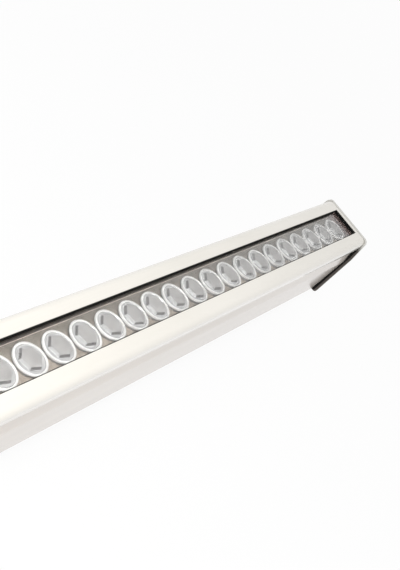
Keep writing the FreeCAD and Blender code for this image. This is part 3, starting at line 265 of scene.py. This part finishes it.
def clear_glass():
    """Toughened glass: clear, with the faintest waviness."""
    s = Surface("clear_glass", 0.0, 0.0, IOR=1.5, Transmission_Weight=1.0, Specular_IOR_Level=0.1)
    waves = s.noise((25, 25, 25), 1)
    s.colour(s.blend(waves, (0.985, 0.99, 0.985, 1), (0.995, 1.0, 0.995, 1)))
    s.bump(waves, 0.01 * MM, 0.3)
    return s.material


TRAY_DEPTH = 8.5 * MM
TRAY_BEND = 0.8 * MM
TRAY_PAINTED_SHADE_SIDE = 13 * MM
# Where the painted highlight line starts, is full and fades; and how far the painted end shade
# fades in.
BEND_LINE_START = 0.1 * MM
BEND_LINE_FULL = 0.3 * MM
BEND_LINE_FADE = 0.2 * MM
TRAY_END_FADE = 1.5 * MM


def tray_sheet():
    """Grey-brown lacquered sheet with cloudy mottling; painted shade towards +Y, on the walls and
    past the last lens, and a pale painted highlight line where the floor turns up.
    """
    s = Surface("tray_sheet", 0.45, 0.2)
    clouds = s.noise((170, 170, 170), 5, 0.65)
    fine = s.noise((900, 900, 900), 3)
    mixed = s.mixed(clouds, fine, 0.25)
    patches = s.spread(mixed, 0.36, 0.64)
    floor = s.blend(patches, rgb(126, 115, 104), rgb(172, 160, 147))
    # Painted shade: a darker copy of the floor colours, blended in towards +Y where the floor
    # looks shaded.
    painted_shade_floor = s.blend(patches, rgb(92, 85, 76), rgb(124, 117, 106))
    floor = s.blend(s.spread(s.axis("Y"), 0.0, TRAY_PAINTED_SHADE_SIDE), floor, painted_shade_floor)
    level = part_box("lens_tray")[1].z - TRAY_DEPTH
    height = s.axis("Z")
    rising = s.spread(height, level + TRAY_BEND, level + TRAY_DEPTH)
    # Painted shade: the side walls darken as they rise towards the glass.
    painted_shade_wall = s.blend(rising, rgb(104, 96, 89), rgb(38, 34, 31))
    # Painted highlight: a pale line just above the floor, where the sheet turns up.
    start = s.spread(height, level + BEND_LINE_START, level + BEND_LINE_FULL)
    past = s.spread(height, level + TRAY_BEND, level + TRAY_BEND + BEND_LINE_FADE)
    painted_highlight_bend = s.blend(start, floor, rgb(226, 214, 206))
    lining = s.blend(past, painted_highlight_bend, painted_shade_wall)
    # Painted shade: a dull brown past the last lens, towards each end.
    last_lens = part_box("lens_row_3")[1].x
    away = s.math("ABSOLUTE", s.axis("X"))
    painted_end_shade = s.spread(away, last_lens - TRAY_END_FADE, last_lens)
    s.colour(s.blend(painted_end_shade, lining, rgb(112, 97, 94)))
    s.vary_roughness(fine, 0.38, 0.52)
    s.bump(fine, 0.03 * MM, 0.5)
    return s.material


def lens_finish(name, tone, shade, roughness, clear, relief):
    """Moulded acrylic; clear is the share that lets light straight in."""
    s = Surface(name, roughness, 0.0, IOR=1.49, Transmission_Weight=clear)
    clouds = s.noise((160, 160, 160), 3)
    texture = s.cells((1100, 1100, 1100))
    s.colour(s.mottle(clouds, shade, tone))
    s.vary_roughness(clouds, roughness - 0.04, roughness + 0.06)
    s.bump(texture, relief, 0.6)
    return s.material


LED_BASE = 0.82 * MM
LED_EDGE = 0.1 * MM
TRACK_PITCH = 27.2 * MM
TRACK_ROW = 6.5 * MM
TRACK_WIDTH = 0.5 * MM


def led_package():
    """White ceramic base with a yellow phosphor dome, told apart by height."""
    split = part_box("led_row_1")[0].z + LED_BASE
    s = Surface("led_ceramic", 0.35, 0.0, Coat_Weight=0.5, Coat_Roughness=0.1)
    grain = s.noise((2500, 2500, 2500), 2)
    dome = s.spread(s.axis("Z"), split, split + LED_EDGE)
    white = s.blend(grain, rgb(225, 222, 212), rgb(240, 238, 230))
    yellow = s.blend(grain, rgb(226, 196, 84), rgb(240, 214, 110))
    s.colour(s.blend(dome, white, yellow))
    s.bump(grain, 0.02 * MM, 0.4)
    return s.material


def circuit_board(name, mask, mask_dark, track):
    """Solder mask over copper tracks that show as faint lighter paths."""
    s = Surface(name, 0.4, 0.0, Coat_Weight=0.3, Coat_Roughness=0.2)
    inputs = {"Vector": s.place, "Scale": 1.0, "Mortar Size": TRACK_WIDTH}
    inputs.update({"Brick Width": TRACK_PITCH, "Row Height": TRACK_ROW})
    bricks = s.node("ShaderNodeTexBrick", inputs)
    speckle = s.noise((1500, 1500, 1500), 3)
    paint = s.blend(s.spread(speckle, 0.35, 0.65), mask_dark, mask)
    s.colour(s.blend(bricks.outputs["Fac"], paint, track))
    s.bump(bricks.outputs["Fac"], 0.05 * MM, 0.6)
    return s.material


def soft_pad():
    """Grey-blue thermal pad with a woven carrier."""
    s = Surface("thermal_pad", 0.85)
    weave = s.node("ShaderNodeTexChecker", {"Vector": s.place, "Scale": 1400.0})
    dust = s.noise((300, 300, 300), 3)
    s.colour(s.mottle(dust, rgb(118, 128, 142), rgb(138, 147, 160)))
    s.bump(weave.outputs["Fac"], 0.05 * MM, 0.5)
    return s.material


def make_finishes():
    """One material for each of the record's slots, and one more for the end seals."""
    return {
        "anodised_profile": extruded_aluminium(
            "anodised_profile", rgb(222, 213, 204), rgb(212, 203, 194), 0.45, 0.1, 0.78
        ),
        "silver_cover": extruded_aluminium(
            "silver_cover", rgb(236, 232, 224), rgb(229, 225, 216), 0.4, 0.1
        ),
        # Below the glass this silicone carries the painted shading tone rgb(100, 88, 84).
        "black_silicone": rubber("black_silicone", rgb(100, 88, 84)),
        "end_rubber": rubber("end_rubber", rgb(20, 19, 18)),
        "clear_glass": clear_glass(),
        "tray_sheet": tray_sheet(),
        "lens_plastic": lens_finish(
            "lens_clear", (0.66, 0.655, 0.65, 1), (0.6, 0.595, 0.59, 1), 0.15, 0.6, 0.005 * MM
        ),
        "led_ceramic": led_package(),
        "board_face": circuit_board(
            "board_face", rgb(232, 232, 228), rgb(220, 220, 216), rgb(206, 208, 200)
        ),
        "cast_plate": cast_aluminium(),
        "stainless_screw": turned_steel("stainless_screw", rgb(205, 204, 202), rgb(182, 181, 179)),
        "zinc_screw": turned_steel("zinc_screw", rgb(206, 207, 203), rgb(186, 187, 180)),
        "gland_nylon": moulded("gland_nylon", rgb(38, 38, 39), rgb(28, 28, 29)),
        "thermal_pad": soft_pad(),
        "driver_metal": extruded_aluminium(
            "driver_metal", rgb(200, 200, 200), rgb(184, 184, 184), 0.4, 0.9
        ),
        "driver_pcb": circuit_board(
            "driver_pcb", rgb(44, 104, 60), rgb(34, 88, 50), rgb(70, 130, 84)
        ),
        "terminal_plastic": moulded("terminal_plastic", rgb(228, 227, 221), rgb(216, 215, 209)),
        "bracket_steel": coated_steel(),
    }


def dress_nodes(finishes):
    """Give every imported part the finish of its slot; the end seals have their own black."""
    for subpart in frame["record"]["subparts"]:
        node = NODES[subpart["node"]]
        slot = subpart["material_slot"]
        if subpart["node"].startswith("end_seal"):
            slot = "end_rubber"
        node.data.materials.clear()
        node.data.materials.append(finishes[slot])
    NODES["front_glass"].visible_shadow = False


# ---------------------------------------------------------------- mesh helpers


def new_piece(name, mesh, body):
    """An object with the mesh, riding on a body."""
    piece = bpy.data.objects.new(name, mesh)
    bpy.context.scene.collection.objects.link(piece)
    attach(piece, body)
    return piece


def finish_mesh(bm, name, materials, sharp_degrees=32):
    """Turn the bmesh into a smooth mesh that stays crisp at its real edges."""
    bmesh.ops.recalc_face_normals(bm, faces=bm.faces)
    mesh = bpy.data.meshes.new(name)
    bm.to_mesh(mesh)
    bm.free()
    for material in materials:
        mesh.materials.append(material)
    mesh.shade_smooth()
    mesh.set_sharp_from_angle(angle=math.radians(sharp_degrees))
    return mesh


# ---------------------------------------------------------------- lenses

LENSES_PER_ROW = 12
LENS_STEPS = 72
HEXAGON_SIDES = 6
HEXAGON_STEP = math.radians(60)
HEXAGON_TURN = math.radians(45)
LENS_EDGE = 0.2 * MM
RIM_WIDTH = 1.4 * MM
RIM_HEIGHT = 1.5 * MM
DISH_DEPTH = 0.6 * MM
BOSS_CORNER = 8.1 * MM
BOSS_FOOT_CORNER = 9.18 * MM
BOSS_RISE = 1.4 * MM
BOSS_CROWN = 0.12 * MM
BOSS_MIDDLE = 0.16 * MM
BOSS_BORDER = 0.5 * MM
BOSS_CHAMFER = 0.1 * MM
BOSS_CHAMFER_DROP = 0.08 * MM
BOSS_FILLET = 0.15 * MM
RIM_ROUNDING = 0.05 * MM
RIM_ROUNDING_DROP = 0.07 * MM
CUP_STEP = 0.5 * MM
CUP_BANDS = 8
CUP_BULGE = 0.7 * MM
HOLLOW_RADIUS = 2.97 * MM
HOLLOW_DEPTH = 2.6 * MM
HOLLOW_TAPER = 0.2 * MM
HOLLOW_SHOULDER = 0.6
HOLLOW_SHOULDER_DROP = 0.35 * MM
HOLLOW_MIDDLE_DROP = 0.5 * MM
FOOT_WALL = 2.4 * MM
# The dark facet finish here is painted shade on two facets of each boss, which look shaded; it is
# not a darker plastic.
CLEAR, PALE, FROST, SHADED, FACETS = range(5)
SHADED_FACETS = (1, 3)


def hexagon_radius(corner, angle, turn=0.0):
    """Distance from the middle to the side of a hexagon, in the direction of the angle."""
    half = HEXAGON_STEP / 2
    offset = (angle - turn) % HEXAGON_STEP - half
    return corner * math.cos(half) / math.cos(offset)


def lens_rings(radius, foot):
    """Rings from the middle of the front over the rim down to the hollow.

    Each is (radius, height above the rim's top, share of hexagon, finish of the band
    between this ring and the one after it).
    """
    dish = radius - RIM_WIDTH - DISH_DEPTH
    cup_top = radius - CUP_STEP
    cup_foot = HOLLOW_RADIUS + FOOT_WALL
    rings = [
        (BOSS_CORNER * 0.5, BOSS_RISE + BOSS_CROWN, 1.0, FROST),
        (BOSS_CORNER - BOSS_BORDER, BOSS_RISE, 1.0, FROST),
        (BOSS_CORNER - BOSS_CHAMFER, BOSS_RISE - BOSS_CHAMFER_DROP, 1.0, FACETS),
        (BOSS_FOOT_CORNER - BOSS_CHAMFER, -DISH_DEPTH + BOSS_FILLET, 1.0, CLEAR),
        (BOSS_FOOT_CORNER + BOSS_CHAMFER, -DISH_DEPTH, 1.0, CLEAR),
        (dish, -DISH_DEPTH, 0.0, CLEAR),
        (radius - RIM_WIDTH - LENS_EDGE, -LENS_EDGE, 0.0, PALE),
        (radius - RIM_WIDTH, 0.0, 0.0, PALE),
        (radius - LENS_EDGE, 0.0, 0.0, PALE),
        (radius - RIM_ROUNDING, -RIM_ROUNDING_DROP, 0.0, PALE),
        (radius, -LENS_EDGE, 0.0, PALE),
        (radius, -RIM_HEIGHT + LENS_EDGE, 0.0, PALE),
        (radius - LENS_EDGE, -RIM_HEIGHT, 0.0, CLEAR),
        (cup_top, -RIM_HEIGHT, 0.0, CLEAR),
    ]
    for band in range(1, CUP_BANDS + 1):
        share = band / CUP_BANDS
        height = -RIM_HEIGHT + (foot + RIM_HEIGHT) * share
        bulge = math.sin(math.pi * share) * CUP_BULGE
        rings.append((cup_top + (cup_foot - cup_top) * share + bulge, height, 0.0, CLEAR))
    hollow = foot + HOLLOW_DEPTH
    rings += [
        (HOLLOW_RADIUS, foot, 0.0, CLEAR),
        (HOLLOW_RADIUS - HOLLOW_TAPER, hollow, 0.0, CLEAR),
        (HOLLOW_RADIUS * HOLLOW_SHOULDER, hollow - HOLLOW_SHOULDER_DROP, 0.0, CLEAR),
    ]
    return rings


def add_lens(bm, x, rim_level, rings, end_heights):
    """One closed lens standing on its foot, turned about its own upright axis."""
    loops = []
    for radius, height, hexness, _ in rings:
        loop = []
        for step in range(LENS_STEPS):
            angle = HEXAGON_TURN + 2 * math.pi * step / LENS_STEPS
            reach = radius
            if hexness:
                reach = hexagon_radius(radius, angle, HEXAGON_TURN)
            spot = (x + reach * math.cos(angle), reach * math.sin(angle), rim_level + height)
            loop.append(bm.verts.new(spot))
        loops.append(loop)
    for ring, (loop, after) in enumerate(zip(loops, loops[1:])):
        for step in range(LENS_STEPS):
            following = (step + 1) % LENS_STEPS
            face = bm.faces.new((loop[step], loop[following], after[following], after[step]))
            finish = rings[ring][3]
            if finish == FACETS:
                facet = step * HEXAGON_SIDES // LENS_STEPS
                # Two facets get the painted shade finish.
                finish = SHADED if facet in SHADED_FACETS else CLEAR
            face.material_index = finish
    top = (loops[0], end_heights[0], FROST)
    bottom = (loops[-1], end_heights[1], CLEAR)
    for loop, height, finish in (top, bottom):
        middle = bm.verts.new((x, 0, rim_level + height))
        for step in range(LENS_STEPS):
            face = bm.faces.new((loop[step], loop[(step + 1) % LENS_STEPS], middle))
            face.material_index = finish


def make_lens_rows(finishes):
    """Detailed lenses in place of each row of plain ones."""
    pale = lens_finish(
        "lens_pale", (0.62, 0.61, 0.6, 1), (0.56, 0.55, 0.54, 1), 0.35, 0.15, 0.01 * MM
    )
    frost = lens_finish(
        "lens_frost", (0.27, 0.26, 0.255, 1), (0.225, 0.215, 0.21, 1), 0.5, 0.1, 0.05 * MM
    )
    # Painted shade for the two dark facets of each boss.
    shaded_facet = lens_finish(
        "lens_painted_shade", (0.17, 0.16, 0.16, 1), (0.13, 0.125, 0.125, 1), 0.3, 0.3, 0.01 * MM
    )
    for row in (1, 2, 3):
        node = f"lens_row_{row}"
        low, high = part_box(node)
        radius = (high.y - low.y) / 2
        pitch = (high.x - low.x - 2 * radius) / (LENSES_PER_ROW - 1)
        rim_level = high.z - BOSS_RISE
        foot = low.z - rim_level
        rings = lens_rings(radius, foot)
        ends = (BOSS_RISE + BOSS_MIDDLE, foot + HOLLOW_DEPTH - HOLLOW_MIDDLE_DROP)
        bm = bmesh.new()
        for lens in range(LENSES_PER_ROW):
            add_lens(bm, low.x + radius + lens * pitch, rim_level, rings, ends)
        materials = [finishes["lens_plastic"], pale, frost, shaded_facet]
        mesh = finish_mesh(bm, f"lenses_{row}", materials)
        piece = new_piece(f"lenses_{row}", mesh, "fitting")
        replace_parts(piece, node)


# ---------------------------------------------------------------- gland caps and tilt bolts

TURNED_STEPS = 96
CAP_HEXAGON = 7.0 * MM
CAP_BORE = 5.6 * MM
CAP_THREAD = 8.1 * MM
CAP_ROOM = 8.0 * MM
CAP_FLUTES = 24
CAP_STEP = 0.5 * MM
CAP_CHAMFER = 0.4 * MM
CAP_CORNER_CUT = 0.7 * MM
FLUTE_DEPTH = 0.45 * MM
FLUTE_START = 0.6 * MM
FLUTE_FULL = 1.0 * MM
FLUTE_END = 2.0 * MM
# How far back from the cap's end, and how far in from its round part.
CAP_END = ((1.6 * MM, 0.05 * MM), (1.0 * MM, 0.2 * MM), (0.4 * MM, 0.7 * MM), (0.0, 1.5 * MM))
BORE_LIP = 0.5 * MM
BORE_LIP_DEPTH = 0.4 * MM
BOLT_HEAD = 4.0 * MM
BOLT_CHAMFER = 0.4 * MM
BOLT_WASHER = 0.3 * MM
BOLT_SHANK = 3.0 * MM
HEAD_DENT = 0.25 * MM
HEAD_DENT_FLOOR = 0.6
HEAD_DENT_EDGE = 0.68
BOLT_THREAD = 13.0 * MM
BOLT_PITCH = 1.0 * MM
BOLT_THREAD_DEPTH = 0.5 * MM
BOLT_TIP = 0.1 * MM
RINGS_PER_TURN = 8


def round_ring(radius):
    return lambda angle: radius


def hexagon_ring(corner, limit):
    """A hexagon with its corners on Y, turned down to a limit."""
    return lambda angle: min(hexagon_radius(corner, angle), limit)


def fluted_ring(radius):
    return lambda angle: radius - FLUTE_DEPTH * (0.5 - 0.5 * math.cos(CAP_FLUTES * angle))


def thread_ring(radius, depth, turn):
    """One slice of a thread, cut where the groove has come round to by this turn."""

    def reach(angle):
        share = (turn + angle / (2 * math.pi)) % 1.0
        return radius - depth * (1 - abs(2 * share - 1))

    return reach


def add_turned(bm, start, outward, rings, hollow):
    """Closed solid about a line along X; each ring is (distance from the start, its reach)."""
    loops = []
    for distance, reach in rings:
        loop = []
        for step in range(TURNED_STEPS):
            angle = 2 * math.pi * step / TURNED_STEPS
            across = Vector((outward * distance, math.cos(angle), math.sin(angle)))
            across.yz *= reach(angle)
            loop.append(bm.verts.new(start + across))
        loops.append(loop)
    following = loops[1:]
    if hollow:
        following.append(loops[0])
    else:
        bm.faces.new(loops[0])
        bm.faces.new(loops[-1])
    for loop, after in zip(loops, following):
        for step in range(TURNED_STEPS):
            beside = (step + 1) % TURNED_STEPS
            bm.faces.new((loop[step], loop[beside], after[beside], after[step]))


def turned_piece(name, node, body, outward, rings, hollow):
    """A turned part in place of a packed one, from its inner or head end outward."""
    low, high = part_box(node)
    middle = (low + high) / 2
    start = Vector((low.x if outward > 0 else high.x, middle.y, middle.z))
    bm = bmesh.new()
    add_turned(bm, start, outward, rings, hollow)
    material = NODES[node].data.materials[0]
    mesh = finish_mesh(bm, name, [material])
    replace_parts(new_piece(name, mesh, body), node)


def cap_rings(corner, length):
    """Cap nut: chamfered hexagon, fluted grip, rounded end and stepped bore."""
    dome = corner * math.cos(HEXAGON_STEP / 2) - CAP_STEP
    cut = corner - CAP_CORNER_CUT
    rings = [
        (0.0, round_ring(CAP_THREAD)),
        (0.0, hexagon_ring(corner, cut)),
        (CAP_CHAMFER, hexagon_ring(corner, corner)),
        (CAP_HEXAGON - CAP_CHAMFER, hexagon_ring(corner, corner)),
        (CAP_HEXAGON, hexagon_ring(corner, cut)),
        (CAP_HEXAGON, round_ring(dome)),
        (CAP_HEXAGON + FLUTE_START, round_ring(dome)),
        (CAP_HEXAGON + FLUTE_FULL, fluted_ring(dome)),
        (length - FLUTE_END, fluted_ring(dome)),
    ]
    rings += [(length - back, round_ring(dome - inward)) for back, inward in CAP_END]
    rings += [
        (length, round_ring(CAP_BORE + BORE_LIP)),
        (length - BORE_LIP_DEPTH, round_ring(CAP_BORE)),
        (CAP_ROOM, round_ring(CAP_BORE)),
        (CAP_ROOM, round_ring(CAP_THREAD)),
    ]
    return rings


def bolt_rings(corner, length):
    """Hexagon bolt: chamfered head with a sunk middle, washer face, shank and thread."""
    flat = corner * math.cos(HEXAGON_STEP / 2)
    rings = [
        (HEAD_DENT, round_ring(flat * HEAD_DENT_FLOOR)),
        (0.0, round_ring(flat * HEAD_DENT_EDGE)),
        (0.0, hexagon_ring(corner, flat)),
        (BOLT_CHAMFER, hexagon_ring(corner, corner)),
        (BOLT_HEAD - BOLT_WASHER, hexagon_ring(corner, corner)),
        (BOLT_HEAD - BOLT_WASHER, round_ring(flat)),
        (BOLT_HEAD, round_ring(flat)),
        (BOLT_HEAD, round_ring(BOLT_SHANK)),
    ]
    thread_start = length - BOLT_THREAD
    count = round(BOLT_THREAD / BOLT_PITCH * RINGS_PER_TURN)
    for number in range(count):
        turn = number / RINGS_PER_TURN
        depth = BOLT_THREAD_DEPTH * min(turn, 1.0)
        rings.append((thread_start + turn * BOLT_PITCH, thread_ring(BOLT_SHANK, depth, turn)))
    rings.append((length, round_ring(BOLT_SHANK - BOLT_THREAD_DEPTH - BOLT_TIP)))
    return rings


def make_turned_parts():
    """Detailed cap nuts and tilt bolts in place of the plain ones."""
    for side, sign in SIDES:
        low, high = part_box(f"gland_cap_{side}")
        rings = cap_rings((high.y - low.y) / 2, high.x - low.x)
        turned_piece(f"cap_{side}", f"gland_cap_{side}", "fitting", sign, rings, True)
        bolt = f"pivot_bolt_{side}"
        low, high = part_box(bolt)
        nut_low, nut_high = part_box(f"pivot_nut_{side}")
        outward = 1 if nut_low.x + nut_high.x > low.x + high.x else -1
        rings = bolt_rings((high.y - low.y) / 2, high.x - low.x)
        turned_piece(f"bolt_{side}", bolt, f"foot_{side}_body", outward, rings, False)


# ---------------------------------------------------------------- floor, light and camera

FLOOR_RADIUS = 40.0
FLOOR_CORNERS = 64
FLOOR_GAP = 0.2 * MM
# Share of plain white that the floor shows: near the fitting, and from FLOOR_FAR metres on.
FLOOR_WHITE_NEAR = 0.93
FLOOR_NEAR = 1.0
FLOOR_FAR = 5.0
WORLD_LIGHT = 0.6


def make_floor():
    """White sweep that keeps a soft shadow and reads as white to the camera."""
    bpy.ops.mesh.primitive_circle_add(
        vertices=FLOOR_CORNERS,
        radius=FLOOR_RADIUS,
        fill_type="NGON",
        location=(0, 0, -FLOOR_GAP),
    )
    floor = bpy.context.object
    floor.name = "floor"
    s = Surface("floor_white", 0.8)
    grain = s.noise((30, 30, 30), 2)
    s.colour(s.blend(grain, (0.9, 0.9, 0.9, 1), (0.92, 0.92, 0.92, 1)))
    glow = s.node("ShaderNodeEmission", {"Color": (1, 1, 1, 1), "Strength": 1.0})
    path = s.node("ShaderNodeLightPath")
    seen = s.math("MAXIMUM", path.outputs["Is Camera Ray"], path.outputs["Is Transmission Ray"])
    seen = s.math("MAXIMUM", seen, path.outputs["Is Glossy Ray"])
    away = s.node("ShaderNodeVectorMath", {0: s.place}, operation="LENGTH").outputs["Value"]
    white = s.spread(away, FLOOR_NEAR, FLOOR_FAR, FLOOR_WHITE_NEAR, 1.0)
    share = s.math("MULTIPLY", seen, white)
    mix = s.node("ShaderNodeMixShader", {0: share})
    s.link(s.shader.outputs[0], mix.inputs[1])
    s.link(glow.outputs[0], mix.inputs[2])
    s.link(mix.outputs[0], s.tree.nodes["Material Output"].inputs["Surface"])
    floor.data.materials.append(s.material)


def make_world():
    """Plain white surroundings: dimmer as light than as seen or mirrored."""
    world = bpy.data.worlds.new("surroundings")
    bpy.context.scene.world = world
    world.use_nodes = True
    tree = world.node_tree
    back = tree.nodes["Background"]
    back.inputs["Color"].default_value = (1, 1, 1, 1)
    path = tree.nodes.new("ShaderNodeLightPath")
    seen = tree.nodes.new("ShaderNodeMath")
    seen.operation = "MAXIMUM"
    tree.links.new(path.outputs["Is Camera Ray"], seen.inputs[0])
    tree.links.new(path.outputs["Is Transmission Ray"], seen.inputs[1])
    both = tree.nodes.new("ShaderNodeMath")
    both.operation = "MAXIMUM"
    tree.links.new(seen.outputs[0], both.inputs[0])
    tree.links.new(path.outputs["Is Glossy Ray"], both.inputs[1])
    strength = tree.nodes.new("ShaderNodeMapRange")
    strength.inputs[3].default_value = WORLD_LIGHT
    strength.inputs[4].default_value = 1.0
    tree.links.new(both.outputs[0], strength.inputs[0])
    tree.links.new(strength.outputs[0], back.inputs["Strength"])


def add_lamp(name, place, target, size, power):
    """A soft square lamp at a place, turned towards its target."""
    data = bpy.data.lights.new(name, "AREA")
    data.shape = "SQUARE"
    data.size = size
    data.energy = power
    lamp = bpy.data.objects.new(name, data)
    lamp.location = place
    lamp.rotation_euler = (Vector(target) - Vector(place)).to_track_quat("-Z", "Y").to_euler()
    bpy.context.scene.collection.objects.link(lamp)


def make_lamps():
    """One soft key lamp above the end that is nearest to the camera."""
    add_lamp("key", place=(-0.4, -0.1, 0.91), target=(-0.35, 0.0, 0.08), size=0.3, power=7.2)


def make_camera():
    """The photograph's viewpoint, found from the row of lenses and the cover's edges."""
    place = Vector((-0.4053, -0.1255, 0.4900))
    right = Vector((0.50774361, -0.60822494, 0.61013019))
    up = Vector((0.21446838, 0.77515412, 0.59425533))
    data = bpy.data.cameras.new("camera")
    data.lens = 60.88
    data.sensor_width = 36.0
    data.clip_start = 0.01
    camera = bpy.data.objects.new("camera", data)
    bpy.context.scene.collection.objects.link(camera)
    axes = Matrix((right, up, right.cross(up))).transposed()
    camera.matrix_world = Matrix.Translation(place) @ axes.to_4x4()
    bpy.context.scene.camera = camera


finishes = make_finishes()
dress_nodes(finishes)
make_lens_rows(finishes)
make_turned_parts()
make_floor()
make_world()
make_lamps()
make_camera()
bpy.context.scene.view_settings.view_transform = "Standard"
